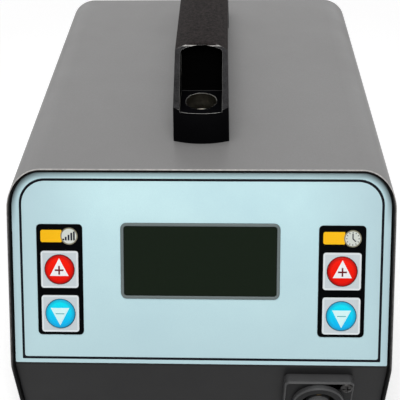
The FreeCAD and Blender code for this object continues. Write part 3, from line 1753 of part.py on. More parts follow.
pieces = {
    "top_cover": top_cover,
    "base_pan": base_pan,
    "front_panel": front_panel,
    "rear_panel": rear_panel,
    "cover_screws": cover_screws,
    "rubber_feet": rubber_feet,
    "foot_screws": foot_screws,
    "foot_nuts": foot_nuts,
    "panel_overlay": panel_overlay,
    "display_bezel": display_bezel,
    "display_window": display_window,
    "keypad_plates": keypad_plates,
    "button_bezels": button_bezels,
    "display_module": display_module,
    "control_board": control_board,
    "tact_switches": tact_switches,
    "board_standoffs": board_standoffs,
    "board_nuts": board_nuts,
    "socket_body": socket_body,
    "socket_insert": socket_insert,
    "socket_contacts": socket_contacts,
    "socket_screws": socket_screws,
    "handle": handle,
    "handle_screws": handle_screws,
    "handle_nuts": handle_nuts,
    "fan_frame": fan_frame,
    "fan_rotor": fan_rotor,
    "fan_guard": fan_guard,
    "fan_screws": fan_screws,
    "inlet_body": inlet_body,
    "inlet_pins": inlet_pins,
    "inlet_screws": inlet_screws,
    "fuse_drawer": fuse_drawer,
    "mains_fuse": mains_fuse,
    "switch_housing": switch_housing,
    "switch_tabs": switch_tabs,
    "power_rocker": power_rocker,
    "power_board": power_board,
    "bulk_capacitors": bulk_capacitors,
    "resonant_capacitors": resonant_capacitors,
    "transformer_core": transformer_core,
    "transformer_winding": transformer_winding,
    "mains_choke": mains_choke,
    "inrush_relay": inrush_relay,
    "output_posts": output_posts,
    "mains_terminal": mains_terminal,
    "heatsink": heatsink,
    "power_transistors": power_transistors,
    "bridge_rectifier": bridge_rectifier,
    "earth_stud": earth_stud,
    "wiring_harness": wiring_harness,
    "panel_ribbon": panel_ribbon,
}

os.makedirs("parts", exist_ok=True)
solids = {name: make() for name, make in pieces.items()}
for word, across, row in button_points():
    solids[word + "_button"] = push_button(across, row)
for name, solid in solids.items():
    solid.exportStep("parts/" + name + ".step")
    print(name, "valid" if solid.isValid() else "NOT VALID", round(solid.Volume))
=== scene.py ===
"""Looks of a benchtop induction heater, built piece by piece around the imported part. Metres."""

import json
import math

import bmesh
import bpy
import numpy as np
from mathutils import Matrix, Vector

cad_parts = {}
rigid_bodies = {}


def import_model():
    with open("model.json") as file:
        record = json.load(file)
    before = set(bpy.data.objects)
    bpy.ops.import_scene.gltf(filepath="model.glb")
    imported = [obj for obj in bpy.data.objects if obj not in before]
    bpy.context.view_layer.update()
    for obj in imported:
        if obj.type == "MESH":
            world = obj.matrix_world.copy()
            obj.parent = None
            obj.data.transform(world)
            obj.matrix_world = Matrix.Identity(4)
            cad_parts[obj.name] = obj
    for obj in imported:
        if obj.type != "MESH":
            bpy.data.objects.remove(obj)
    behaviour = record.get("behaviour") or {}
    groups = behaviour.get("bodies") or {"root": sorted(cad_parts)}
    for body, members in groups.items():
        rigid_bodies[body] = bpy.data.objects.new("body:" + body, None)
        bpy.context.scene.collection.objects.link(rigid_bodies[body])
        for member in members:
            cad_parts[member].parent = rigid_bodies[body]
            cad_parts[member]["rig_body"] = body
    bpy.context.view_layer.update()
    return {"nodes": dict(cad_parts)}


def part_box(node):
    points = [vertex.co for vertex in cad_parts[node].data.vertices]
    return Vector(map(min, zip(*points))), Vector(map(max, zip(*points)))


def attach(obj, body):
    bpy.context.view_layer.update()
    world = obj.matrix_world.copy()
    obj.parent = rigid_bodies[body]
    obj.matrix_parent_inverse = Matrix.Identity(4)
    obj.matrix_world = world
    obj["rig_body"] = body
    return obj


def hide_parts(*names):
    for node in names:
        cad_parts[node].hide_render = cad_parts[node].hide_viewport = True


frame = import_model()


# Camera
# It stands in front of the console and above it, a finger's breadth to the right of its middle. It has a
# short telephoto lens and leans a degree to one side.
mm = 0.001
camera_place = Vector((10.21, -322.44, 317.59)) * mm
camera_down = math.radians(38.569)
camera_left = math.radians(2.328)
camera_roll = math.radians(-1.189)
focal_share = 741.03 / 400

ahead = Vector((
    -math.sin(camera_left) * math.cos(camera_down),
    math.cos(camera_left) * math.cos(camera_down),
    -math.sin(camera_down),
))
level = ahead.cross(Vector((0, 0, 1))).normalized()
steep = level.cross(ahead)
across = level * math.cos(camera_roll) + steep * math.sin(camera_roll)
upward = steep * math.cos(camera_roll) - level * math.sin(camera_roll)
lens = bpy.data.cameras.new("camera")
lens.sensor_width = 36.0
lens.lens = lens.sensor_width * focal_share
lens.clip_start = 0.01
camera = bpy.data.objects.new("camera", lens)
bpy.context.scene.collection.objects.link(camera)
camera.matrix_world = Matrix((
    (across.x, upward.x, -ahead.x, camera_place.x),
    (across.y, upward.y, -ahead.y, camera_place.y),
    (across.z, upward.z, -ahead.z, camera_place.z),
    (0, 0, 0, 1),
))
bpy.context.scene.camera = camera
bpy.context.scene.view_settings.view_transform = "Standard"


# Bench, walls and light
# A plain pale bench top with soft light from a box overhead and another high in front. The surroundings are
# white, and what is seen of them directly, or in a gloss, is a full white.
def add(material, kind, inputs=None, **settings):
    """Adds a shader node, with its settings and with inputs that are plain values or other nodes' outputs.
    It returns the first of the outputs in use."""
    made = material.node_tree.nodes.new("ShaderNode" + kind)
    for name, value in settings.items():
        setattr(made, name, value)
    for name, value in (inputs or {}).items():
        if isinstance(value, bpy.types.NodeSocket):
            material.node_tree.links.new(value, made.inputs[name])
        else:
            made.inputs[name].default_value = value
    return next(output for output in made.outputs if output.enabled)


def reckon(material, operation, *values, kind="Math"):
    """One step of arithmetic on numbers, or with the kind VectorMath on vectors."""
    return add(material, kind, dict(enumerate(values)), operation=operation)


def ramp(material, value, start, end, low=0.0, high=1.0):
    """Goes evenly from low to high while the value goes from start to end, and stays level beyond."""
    return add(material, "MapRange", {
        "Value": value, "From Min": start, "From Max": end, "To Min": low, "To Max": high})


def mix(material, share, first, second):
    """Goes from a first colour, or another node's colour, to a second by a share."""
    start = first if isinstance(first, bpy.types.NodeSocket) else (*first, 1)
    return add(material, "MixRGB", {"Fac": share, "Color1": start, "Color2": (*second, 1)})


def finish_of(name, plain):
    """New material with its plain values on the shader's own sockets."""
    material = bpy.data.materials.new(name)
    material.use_nodes = True
    for socket, value in plain.items():
        material.node_tree.nodes["Principled BSDF"].inputs[socket].default_value = value
    material.node_tree.nodes.new("ShaderNodeTexCoord")
    return material


def place_of(material):
    """The place on the piece, in its own metres, that a material reads."""
    return material.node_tree.nodes["Texture Coordinate"].outputs["Object"]


def noise(material, scale, detail=2.0, **more):
    """Soft noise over the piece: so many lumps to the metre, with a number of finer layers."""
    return add(material, "TexNoise", {
        "Vector": place_of(material), "Scale": scale, "Detail": detail, **more})


def bump(material, height, depth, strength=1.0):
    """Raises the surface by a height's share of a depth."""
    return add(material, "Bump", {"Height": height, "Strength": strength, "Distance": depth})


def feed(material, outputs):
    """Leads other nodes' outputs to the sockets of a material's shader."""
    for socket, output in outputs.items():
        material.node_tree.links.new(output, material.node_tree.nodes["Principled BSDF"].inputs[socket])


def set_piece(name, mesh, material, body=None, nodes=()):
    """Object at the origin for a finished mesh, riding on a body and standing for the CAD nodes named."""
    mesh.materials.clear()
    mesh.materials.append(material)
    piece = bpy.data.objects.new(name, mesh)
    bpy.context.scene.collection.objects.link(piece)
    if body:
        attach(piece, body)
    if nodes:
        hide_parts(*nodes)
    return piece


bench = finish_of("bench_top", {
    "Roughness": 0.75, "Specular IOR Level": 0.2, "Emission Color": (1, 1, 1, 1)})
bench_seen = bench.node_tree.nodes.new("ShaderNodeLightPath").outputs["Is Camera Ray"]
bench_reach = reckon(bench, "LENGTH", place_of(bench), kind="VectorMath")
bench_glow = ramp(bench, bench_reach, 0.4, 2.2, 0.24, 0.85)
feed(bench, {
    "Base Color": mix(bench, noise(bench, 3.0), (0.93, 0.93, 0.93), (0.955, 0.955, 0.955)),
    "Emission Strength": reckon(bench, "MULTIPLY", bench_seen, bench_glow),
})
cells = 8
lines = np.linspace(-4, 4, cells + 1)
bench_x, bench_y = np.meshgrid(lines, lines)
bench_points = np.stack([bench_x, bench_y, np.zeros_like(bench_x)], axis=-1).reshape(-1, 3)
corner = (np.arange(cells)[:, None] * (cells + 1) + np.arange(cells)).reshape(-1, 1)
bench_mesh = bpy.data.meshes.new("bench")
bench_faces = corner + np.array([0, 1, cells + 2, cells + 1])
bench_mesh.from_pydata(bench_points.tolist(), [], bench_faces.tolist())
set_piece("bench", bench_mesh, bench)

sky = bpy.data.worlds.new("surroundings")
bpy.context.scene.world = sky
sky.use_nodes = True
seen = sky.node_tree.nodes.new("ShaderNodeLightPath")
straight_or_gloss = reckon(sky, "ADD", seen.outputs["Is Camera Ray"], seen.outputs["Is Glossy Ray"])
any_seen = reckon(sky, "ADD", straight_or_gloss, seen.outputs["Is Transmission Ray"])
sky_light = sky.node_tree.nodes["Background"]
sky_light.inputs["Color"].default_value = (1, 1, 1, 1)
sky.node_tree.links.new(ramp(sky, any_seen, 0, 1, 0.38), sky_light.inputs["Strength"])

for word, spot, target, size, power in (
    ("overhead_box", (-0.05, -0.10, 1.25), (0, 0, 0.08), 0.55, 6.6),
    ("front_box", (0.15, -0.90, 1.05), (0, -0.05, 0.08), 0.7, 4.2),
):
    panel_light = bpy.data.lights.new(word, "AREA")
    panel_light.shape = "SQUARE"
    panel_light.size = size
    panel_light.energy = power
    holder = bpy.data.objects.new(word, panel_light)
    bpy.context.scene.collection.objects.link(holder)
    holder.location = spot
    holder.rotation_euler = (Vector(target) - Vector(spot)).to_track_quat("-Z", "Y").to_euler()


# Grey cover
# One bent sheet of steel under a fine grey powder coat, with upright air slots in its sides. Its inside is
# painted black as shade on the lip's inner wall. Its cut front edge, which stands round the console, is
# black, with painted grey light on the outer part of the side edges and a painted pale highlight along the
# top front edge's outer corner.
right, rear, up = np.eye(3)
panel_lean = math.radians(32)
panel_up = np.array((0, math.sin(panel_lean), math.cos(panel_lean)))
panel_out = np.array((0, -math.cos(panel_lean), math.sin(panel_lean)))


def grained(name, pale, deep, gloss, cloud, grain, depth, sheen=0.5):
    """A finish with a fine surface grain. A broad noise times a fine one drifts the colour from deep to
    pale, a middling one the roughness across the gloss, and the grain, with a third of one five times as
    fine, raises the surface by a depth. The sheen is the strength of its plain reflection."""
    material = finish_of(name, {"Specular IOR Level": sheen})
    drift = reckon(material, "MULTIPLY", noise(material, cloud, 4.0, Roughness=0.6),
                   noise(material, grain * 2.3))
    fine = reckon(material, "MULTIPLY", noise(material, grain * 5, 1.0), 0.35)
    height = reckon(material, "ADD", noise(material, grain), fine)
    feed(material, {
        "Base Color": mix(material, ramp(material, drift, 0.14, 0.38), deep, pale),
        "Roughness": ramp(material, noise(material, cloud * 6, 3.0), 0.3, 0.7, *gloss),
        "Normal": bump(material, height, depth),
    })
    return material


def eased(node, width, material, steps=2):
    """Copy of a CAD node for show: its loose triangles are merged into whole faces, and every corner
    sharper than 32 degrees is rounded over by a width, in a number of steps."""
    mesh = frame["nodes"][node].data.copy()
    work = bmesh.new()
    work.from_mesh(mesh)
    bmesh.ops.remove_doubles(work, verts=work.verts, dist=0.002 * mm)
    bmesh.ops.dissolve_limit(work, angle_limit=math.radians(1), verts=work.verts, edges=work.edges)
    work.to_mesh(mesh)
    work.free()
    mesh.shade_smooth()
    body = frame["nodes"][node]["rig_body"]
    piece = set_piece(node + "_shell", mesh, material, body, [node])
    rounding = piece.modifiers.new("rounded_edges", "BEVEL")
    rounding.width = width
    rounding.segments = steps
    rounding.limit_method = "ANGLE"
    rounding.angle_limit = math.radians(32)
    flat = piece.modifiers.new("flat_faces", "WEIGHTED_NORMAL")
    flat.weight = 80
    return piece


def paint_faces(piece, material, rule):
    """Another finish on the faces that a rule picks, by their directions and their middles."""
    piece.data.materials.append(material)
    faces = piece.data.polygons
    facing, middles = np.empty((2, len(faces), 3))
    faces.foreach_get("normal", facing.ravel())
    faces.foreach_get("center", middles.ravel())
    index = np.empty(len(faces), np.int32)
    faces.foreach_get("material_index", index)
    index[rule(facing, middles)] = len(piece.data.materials) - 1
    faces.foreach_set("material_index", index)


def paint_rims(piece, material):
    """Another finish on the rounded edges alone."""
    piece.data.materials.append(material)
    piece.modifiers["rounded_edges"].material = len(piece.data.materials) - 1


def is_cut_edge(facing, middles):
    """Whether a face is part of the front edge: square to the leaning sheet, or upright below the bend."""
    return (facing @ panel_out > 0.97) | ((facing[:, 1] < -0.97) & (middles[:, 1] < -100 * mm))


def is_inside(facing, middles):
    """Whether a face looks at the line that runs from front to rear through the middle of the case."""
    middle_level = 65 * mm
    inward = facing[:, 0] * middles[:, 0] + facing[:, 2] * (middles[:, 2] - middle_level)
    return (abs(facing[:, 1]) < 0.5) & (inward < -10 * mm)


def tint(material, share, tone):
    """Lays a tone over a material's present base colour, by a share that may vary over the surface."""
    base = material.node_tree.nodes["Principled BSDF"].inputs["Base Color"]
    feed(material, {"Base Color": mix(material, share, base.links[0].from_socket, tone)})


def along(material, way):
    """How far the place lies along a direction, as their dot product."""
    return reckon(material, "DOT_PRODUCT", place_of(material), tuple(way), kind="VectorMath")


def far_from(material, value, *middles):
    """Distance of a value from a middle, and then of that distance from the next middle."""
    for middle in middles:
        value = reckon(material, "ABSOLUTE", reckon(material, "SUBTRACT", value, float(middle)))
    return value


def product(material, share, factors):
    """A share times all the factors."""
    for factor in factors:
        share = reckon(material, "MULTIPLY", share, factor)
    return share


def under_skin(material, shut, opened):
    """Goes from 0 to 1 between two depths under the cover's outer skin. A rounded box seen from the front
    has the depth radius - length(max(abs(place) - corner middle, 0))."""
    found = place_of(material)
    middle = (cover_high.x - cover_corner, 0, cover_high.z - cover_corner)
    for operation, *value in (("ABSOLUTE",), ("SUBTRACT", middle), ("MAXIMUM", (0, 0, 0)),
                              ("MULTIPLY", (1, 0, 1)), ("LENGTH",)):
        found = reckon(material, operation, found, *value, kind="VectorMath")
    return ramp(material, found, cover_corner - shut, cover_corner - opened)


def blend(name, first, second, gates, sheen):
    """A finish that goes over, in patches, from a first tone to a second where all its gates are open. A
    gate is a direction and two distances along it, to either side, between which it opens."""
    material = finish_of(name, {"Specular IOR Level": sheen})
    patchy = noise(material, 500.0, 3.0)
    gated = [ramp(material, far_from(material, along(material, way), 0), shut, opened)
             for way, shut, opened in gates]
    share = product(material, ramp(material, patchy, 0.35, 0.65, 0.5), gated)
    feed(material, {
        "Base Color": mix(material, share, first, second),
        "Roughness": ramp(material, patchy, 0, 1, 0.35, 0.5),
    })
    return material


cover_low, cover_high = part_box("top_cover")
cover_corner = 15 * mm
cover_coat = grained("cover_coat", (0.226, 0.224, 0.224), (0.198, 0.195, 0.194), (0.34, 0.44), 9, 1100,
                     0.02 * mm, 0.42)
# Painted shade: the inside of the sheet is black, standing for the shade on the lip's inner wall.
inside_shade_black = grained("inside_shade_black", (0.0060, 0.0060, 0.0060), (0.0040, 0.0040, 0.0040), (0.4, 0.5), 12,
                       1300, 0.01 * mm, 0.12)
edge_black = (0.001, 0.001, 0.001)
# The cut edge is black; the outer part of its side edges is painted grey, in patches, as light that the
# sides catch and the top does not.
cut_edge = blend("cut_edge", edge_black, (0.095, 0.092, 0.092),
                 [(right, 82.9 * mm, 84.3 * mm), (up, 46 * mm, 56 * mm)], 0.06)
# Painted highlight: the cover's rounded edges are pale, in patches, along the top front edge, grey
# elsewhere, and black deeper than about half a millimetre under the outer skin.
painted_edge_highlight = blend("painted_edge_highlight", (0.21, 0.208, 0.207), (0.52, 0.50, 0.48),
                    [(up, 106 * mm, 113 * mm), (rear, 55 * mm, 58 * mm)], 0.12)
outer_corner = under_skin(painted_edge_highlight, 0.7 * mm, 0.4 * mm)
tint(painted_edge_highlight, reckon(painted_edge_highlight, "SUBTRACT", 1.0, outer_corner), edge_black)
cover = eased("top_cover", 0.36 * mm, cover_coat, 3)
paint_faces(cover, cut_edge, is_cut_edge)
paint_faces(cover, inside_shade_black, is_inside)
paint_rims(cover, painted_edge_highlight)


# Screws of the cover, the feet, the rear fittings and the handle
# Turned zinc-plated steel: a shallow domed head with a cross recess, and a threaded shank that bites into
# the folded sheet. The handle's screws carry a captive washer and stand deep in its two pockets.
def skin(name, grids, material, body, nodes=()):
    """One piece made of closed surfaces. Each grid is rows of points: a row is joined to the next one and
    to its own start, rows of one point close the ends, and equal first and last rows close a ring."""
    points, faces, count = [], [], 0
    for grid in grids:
        rows, columns = grid.shape[:2]
        index = count + np.arange(rows * columns).reshape(rows, columns)
        beside = np.roll(index, -1, axis=1)
        faces.append(np.stack([index[:-1], beside[:-1], beside[1:], index[1:]], axis=-1).reshape(-1, 4))
        points.append(grid.reshape(-1, 3))
        count += rows * columns
    mesh = bpy.data.meshes.new(name)
    mesh.from_pydata(np.concatenate(points).tolist(), [], np.concatenate(faces).tolist())
    work = bmesh.new()
    work.from_mesh(mesh)
    bmesh.ops.remove_doubles(work, verts=work.verts, dist=0.0005 * mm)
    bmesh.ops.dissolve_degenerate(work, edges=work.edges, dist=0.0002 * mm)
    bmesh.ops.recalc_face_normals(work, faces=work.faces)
    work.to_mesh(mesh)
    work.free()
    mesh.shade_smooth()
    mesh.set_sharp_from_angle(angle=math.radians(35))
    return set_piece(name, mesh, material, body, nodes)


def circle(columns):
    """Points of a circle of radius 1, as rows of two numbers."""
    angle = np.linspace(0, 2 * np.pi, columns, endpoint=False)
    return np.stack([np.cos(angle), np.sin(angle)], axis=-1)


def turned(profile, seat, axis, columns=48, dent=None):
    """Surface of revolution: each (radius, height) of the profile becomes a circle about the axis. A dent
    is a function of the two distances across and the height, and it lowers a point."""
    along_axis = np.array(axis, float)
    start = np.array(up) if abs(along_axis[2]) < 0.9 else np.array(rear)
    first = np.cross(start, along_axis)
    first /= np.linalg.norm(first)
    second = np.cross(along_axis, first)
    radius, height = np.array(profile, float).T
    a, b = np.moveaxis(radius[:, None, None] * circle(columns), -1, 0)
    c = np.repeat(height[:, None], columns, axis=1)
    if dent is not None:
        c = c - dent(a, b, c)
    return np.array(seat) + a[..., None] * first + b[..., None] * second + c[..., None] * along_axis


def cross_screw(seat, axis, head, head_height, shank, length, pitch=0.5 * mm):
    """Screw profile from the head's middle outwards and down. The head is a dome that falls by a third of
    its height, less a cross of two slots that taper in depth; the shank's radius ripples once a pitch."""
    def recess(a, b, c):
        reach, half = head * 0.62, head * 0.15
        arms = [np.clip((1.15 - abs(p) / reach) / 0.15, 0, 1) * np.clip((1.3 - abs(q) / half) / 0.3, 0, 1)
                for p, q in ((a, b), (b, a))]
        taper = 1 - 0.45 * np.clip(np.hypot(a, b) / reach, 0, 1)
        return np.where(c > head_height * 0.5, np.maximum(*arms) * taper * head_height * 0.8, 0)

    out = np.linspace(0, 0.97, 20)
    dome_rows = np.stack([out * head, head_height * (1 - 0.34 * out ** 2.4)], axis=-1)
    rim = [(head, head_height * 0.56), (head, head_height * 0.1), (head * 0.97, 0)]
    down = np.linspace(0, -length, max(8, int(length / pitch) * 4 + 1))
    ripple = shank - 0.26 * pitch * (1 - np.cos(2 * np.pi * down / pitch))
    thread = np.stack([ripple, down], axis=-1)
    tip = [(0, -length - shank * 0.3)]
    return turned(np.concatenate([dome_rows, rim, thread, tip]), seat, axis, dent=recess)


def zinc_plate(name, colour, roughness, metallic=1.0):
    """Plated steel: a metal whose colour drifts a little to yellow and whose shine has fine rub marks."""
    material = finish_of(name, {"Metallic": metallic})
    rubs_and_highlight = noise(material, 2600.0)
    warm = np.array(colour) * (0.93, 0.87, 0.74)
    feed(material, {
        "Base Color": mix(material, noise(material, 240.0, 3.0), warm, colour),
        "Roughness": ramp(material, rubs_and_highlight, 0, 1, roughness - 0.07, roughness + 0.1),
        "Normal": bump(material, rubs_and_highlight, 0.003 * mm),
    })
    return material


bright_zinc = zinc_plate("bright_zinc", (0.70, 0.70, 0.69), 0.30)
black_screw = zinc_plate("black_screw", (0.045, 0.045, 0.048), 0.38, 0.8)
small_head = (2.8 * mm, 1.95 * mm, 1.45 * mm)
large_head = (3.6 * mm, 2.5 * mm, 1.95 * mm)


def screw_set(node, head, length, seats, finish=bright_zinc):
    """Screws in place of a CAD node of screws. Each seat is a point and the way that the head looks."""
    skin(node + "_turned", [cross_screw(seat, way, *head, length) for seat, way in seats], finish, "case",
         [node])


screw_inset = 26 * mm
screw_level = 20.2 * mm
screw_set("cover_screws", small_head, 6 * mm, [
    ((side * cover_high.x, y, screw_level), side * right)
    for y in (cover_low.y + screw_inset, cover_high.y - screw_inset) for side in (-1, 1)])


# Base pan, front sheet and rear sheet
# Folded steel sheet under a black powder coat with a satin gloss, which mirrors the pale room at a low
# angle. The front sheet leans under the controls and stands upright round the tool socket.
sheet_black = grained("sheet_black_coat", (0.0165, 0.0165, 0.0170), (0.0120, 0.0120, 0.0125), (0.34, 0.44),
                      12, 1300, 0.014 * mm, 0.2)
for node in ("base_pan", "front_panel", "rear_panel"):
    eased(node, 0.22 * mm, sheet_black)
front_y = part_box("front_panel")[0].y
rear_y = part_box("rear_panel")[1].y


# Feet
# Moulded rubber cones, matt and a little dusty, each held up to the pan by a screw whose head stands inside
# the recess in its sole.
foot_rubber = grained("foot_rubber", (0.030, 0.030, 0.030), (0.018, 0.018, 0.018), (0.72, 0.86), 60, 900,
                      0.02 * mm, 0.3)
eased("rubber_feet", 0.5 * mm, foot_rubber, 3)
foot_inset = 18 * mm
recess_level = 4.5 * mm
screw_set("foot_screws", large_head, 8.4 * mm, [
    ((x, y, recess_level), -up)
    for x in (cover_low.x + foot_inset, cover_high.x - foot_inset)
    for y in (cover_low.y + foot_inset, cover_high.y - foot_inset)])


# Printed overlay
# A thin polyester sheet stuck to the leaning steel, printed pale blue from behind, with a thin black line
# printed just inside its edge. Its surface is a fine satin, with painted shade towards its sides and foot
# and a painted shadow under the cover's lip.
panel_zero = np.array((0, -62.4559, 127.1409)) * mm


def on_panel(a, b, c):
    """Points at distances across, up the slope and out from the leaning sheet."""
    a, b, c = np.broadcast_arrays(a, b, c)
    return panel_zero + a[..., None] * right + b[..., None] * panel_up + c[..., None] * panel_out


def rounded(width, height, radii, steps, middle=(0, 0)):
    """Outline of a rectangle with quarter circles at its corners, from the top right and to the left."""
    turn = np.linspace(0, np.pi / 2, steps)
    points = []
    for quarter, radius in enumerate(np.broadcast_to(radii, 4)):
        x = (1, -1, -1, 1)[quarter] * (width / 2 - radius)
        y = (1, 1, -1, -1)[quarter] * (height / 2 - radius)
        angle = turn + quarter * np.pi / 2
        points.append(np.stack([x + radius * np.cos(angle), y + radius * np.sin(angle)], axis=-1))
    return np.concatenate(points) + np.array(middle)


def on_levels(rows, surface=on_panel):
    """Rows of a closed surface: each is an outline at a level above the panel or another surface."""
    return np.stack([surface(outline[:, 0], outline[:, 1], height) for outline, height in rows])


def band(outer, inner, low, high, surface=on_panel):
    """Flat ring between two outlines of as many points, from low to high: four rows and the first again."""
    return on_levels([(outer, low), (outer, high), (inner, high), (inner, low), (outer, low)], surface)


def plate(outline, low, high, surface=on_panel):
    """Flat plate inside an outline that its middle sees whole: out along the top, down, back in."""
    point = np.repeat(outline.mean(axis=0)[None], len(outline), axis=0)
    return on_levels([(point, high), (outline, high), (outline, low), (point, low)], surface)


overlay_top = 0.5 * mm
ink = 0.03 * mm
overlay_print = grained("overlay_print", (0.620, 0.870, 0.900), (0.505, 0.735, 0.795), (0.36, 0.46), 16,
                        2600, 0.004 * mm, 0.3)
to_side = far_from(overlay_print, along(overlay_print, right), 0)
to_top = along(overlay_print, up)
# Painted shade: the print goes deeper towards the sides and the foot, where less light falls on it.
side_shade = ramp(overlay_print, to_side, 45 * mm, 84 * mm, 0, 0.75)
foot_shade = ramp(overlay_print, to_top, 55 * mm, 115 * mm, 0.6, 0)
tint(overlay_print, reckon(overlay_print, "MAXIMUM", side_shade, foot_shade), (0.440, 0.595, 0.645))
# Painted shadow of the cover's lip: a dark band just under the lip, strongest in the upper corners.
lip_shadow_share = under_skin(overlay_print, 4.2 * mm, 1.7 * mm)
corner_shadow_gates = [ramp(overlay_print, to_top, 106 * mm, 117 * mm, 0, 0.92),
             ramp(overlay_print, to_side, 66 * mm, 75 * mm, 0.5)]
tint(overlay_print, product(overlay_print, lip_shadow_share, corner_shadow_gates), (0.045, 0.060, 0.062))
eased("panel_overlay", 0.08 * mm, overlay_print, 1)
line_ink = grained("line_ink", (0.004, 0.005, 0.009), (0.003, 0.003, 0.006), (0.4, 0.5), 30, 2600,
                   0.004 * mm, 0.08)
line_middle = (0.1 * mm, -44.8 * mm)
line_edges = ((159.9, 81.4, (11.4, 11.4, 0.5, 0.5)), (157.7, 79.2, (10.4, 10.4, 0.9, 0.9)))
border = [rounded(width * mm, height * mm, np.array(radii) * mm, 14, line_middle)
          for width, height, radii in line_edges]
skin("border_line", [band(*border, overlay_top - ink, overlay_top + ink)], line_ink, "case")


# Display
# A dark liquid crystal window behind clear plastic, glossy and nearly black with a green cast, set in a
# thin moulded grey frame.
frame_plastic = grained("frame_plastic", (0.130, 0.160, 0.160), (0.110, 0.140, 0.140), (0.40, 0.5), 40,
                        1800, 0.008 * mm)
eased("display_bezel", 0.25 * mm, frame_plastic)
window = finish_of("display_glass", {"Roughness": 0.16, "Specular IOR Level": 0.08})
cells_to_metre = 1700.0
crystal = add(window, "Mapping", {
    "Vector": place_of(window), "Rotation": (panel_lean - math.pi / 2, 0, 0),
    "Scale": (cells_to_metre,) * 3})
feed(window, {"Base Color": add(window, "TexBrick", {
    "Vector": crystal, "Color1": (0.0048, 0.0105, 0.0042, 1), "Color2": (0.0056, 0.0116, 0.0050, 1),
    "Mortar": (0.0036, 0.0080, 0.0032, 1), "Scale": 1.0, "Mortar Size": 0.06, "Brick Width": 1.0,
    "Row Height": 1.0}, offset=0.0)})
eased("display_window", 0.15 * mm, window, 1)


# Keypads
# Two glossy black plastic plates with rounded corners. Each carries a yellow tag and a round icon, printed,
# and two pale square bezels, moulded, that frame the push buttons.
keypad_gloss = grained("keypad_gloss", (0.0014, 0.0017, 0.0022), (0.0010, 0.0012, 0.0016), (0.22, 0.32), 40,
                       1500, 0.006 * mm, 0.018)
eased("keypad_plates", 0.2 * mm, keypad_gloss)
pale_plastic = grained("pale_plastic", (0.600, 0.665, 0.695), (0.550, 0.610, 0.640), (0.3, 0.4), 50, 1800,
                       0.006 * mm, 0.35)
# Painted highlight on the bezels' rounded rims.
rim_highlight_pale = grained("rim_highlight_pale", (0.86, 0.88, 0.88), (0.76, 0.79, 0.80), (0.25, 0.35), 50, 1800, 0.006 * mm)
button_column = 62.2 * mm
button_rows = {"up": 44.5 * mm, "down": 64.5 * mm}
mean_row = sum(button_rows.values()) / 2
# Painted highlight: each bezel is paler in a narrow band just inside its outer edge.
from_column = far_from(pale_plastic, along(pale_plastic, right), 0, button_column)
from_row = far_from(pale_plastic, along(pale_plastic, panel_up), panel_zero @ panel_up - mean_row,
                    mean_row - button_rows["up"])
bezel_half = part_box("button_bezels")[1].x - button_column
tint(pale_plastic, ramp(pale_plastic, reckon(pale_plastic, "MAXIMUM", from_column, from_row),
                        bezel_half - 0.95 * mm, bezel_half - 0.7 * mm), (0.73, 0.78, 0.80))
paint_rims(eased("button_bezels", 0.3 * mm, pale_plastic, 3), rim_highlight_pale)


def printed(name, pale, deep, gloss=(0.35, 0.45)):
    """Printed ink, a satin with hardly any grain."""
    return grained(name, pale, deep, gloss, 60, 2600, 0.003 * mm, 0.15)


def spun(outline, angle):
    """An outline turned to the left about its origin by an angle."""
    return outline @ np.array(((math.cos(angle), math.sin(angle)), (-math.sin(angle), math.cos(angle))))


keypad_top = 0.8 * mm
printed_base = keypad_top - ink
mark_base = keypad_top + 2 * ink
mark_top = keypad_top + 4 * ink
bars = np.array((-57.8, -29.6)) * mm
clock = np.array((66.6, -30.0)) * mm
tag_radii = np.array((0.3, 0.9, 0.9, 0.3)) * mm
tags = [plate(rounded(9.4 * mm, 5.5 * mm, tag_radii, 8, np.array(tag) * mm), printed_base, keypad_top + ink)
        for tag in ((-65.8, -29.6), (58.5, -29.8))]
discs = [plate(disc + 3.4 * mm * circle(64), printed_base, keypad_top + 3 * ink) for disc in (bars, clock)]
rings = [band(disc + 3.8 * mm * circle(64), disc + 3.3 * mm * circle(64), printed_base, mark_top)
         for disc in (bars, clock)]
bar_foot = -1.9
marks = []
for x, height in ((-2.5, 0.8), (-1.45, 1.6), (-0.2, 2.5), (1.05, 3.4), (2.2, 4.0)):
    middle = bars + np.array((x, height / 2 + bar_foot)) * mm
    marks.append(plate(rounded(0.8 * mm, height * mm, 0.1 * mm, 3, middle), mark_base, mark_top))
tick = rounded(0.32 * mm, 0.62 * mm, 0.04 * mm, 3, (0, 2.7 * mm))
marks += [plate(clock + spun(tick, hour * math.pi / 6), mark_base, mark_top) for hour in range(12)]
for angle, length in ((0.0, 2.4 * mm), (-2.35, 2.0 * mm)):
    hand = rounded(0.5 * mm, length, 0.1 * mm, 3, (0, length / 2 - 0.15 * mm))
    marks.append(plate(clock + spun(hand, angle), mark_base, mark_top + ink))
tag_yellow = printed("tag_yellow", (1.0, 0.545, 0.006), (0.93, 0.49, 0.005))
icon_pale = printed("icon_pale", (0.68, 0.71, 0.66), (0.63, 0.66, 0.61))
icon_ring = printed("icon_ring", (0.28, 0.26, 0.185), (0.20, 0.19, 0.13))
icon_ink = printed("icon_ink", (0.010, 0.013, 0.028), (0.007, 0.009, 0.02), (0.4, 0.5))
skin("tags", tags, tag_yellow, "case")
skin("icon_discs", discs, icon_pale, "case")
skin("icon_rings", rings, icon_ring, "case")
skin("icon_marks", marks, icon_ink, "case")


# Push buttons
# Moulded glossy caps, red to raise a value and blue to lower it, low domes with a rounded rim. Each has a
# triangle and a sign printed on it, and a square stem with a snap collar that presses a switch behind.
cap_radius = 6.5 * mm
crown_reach = 5.9 * mm
cap_top = 2.12 * mm
cap_foot = 0.9 * mm
rim_width, rim_drop = 0.6 * mm, 0.55 * mm


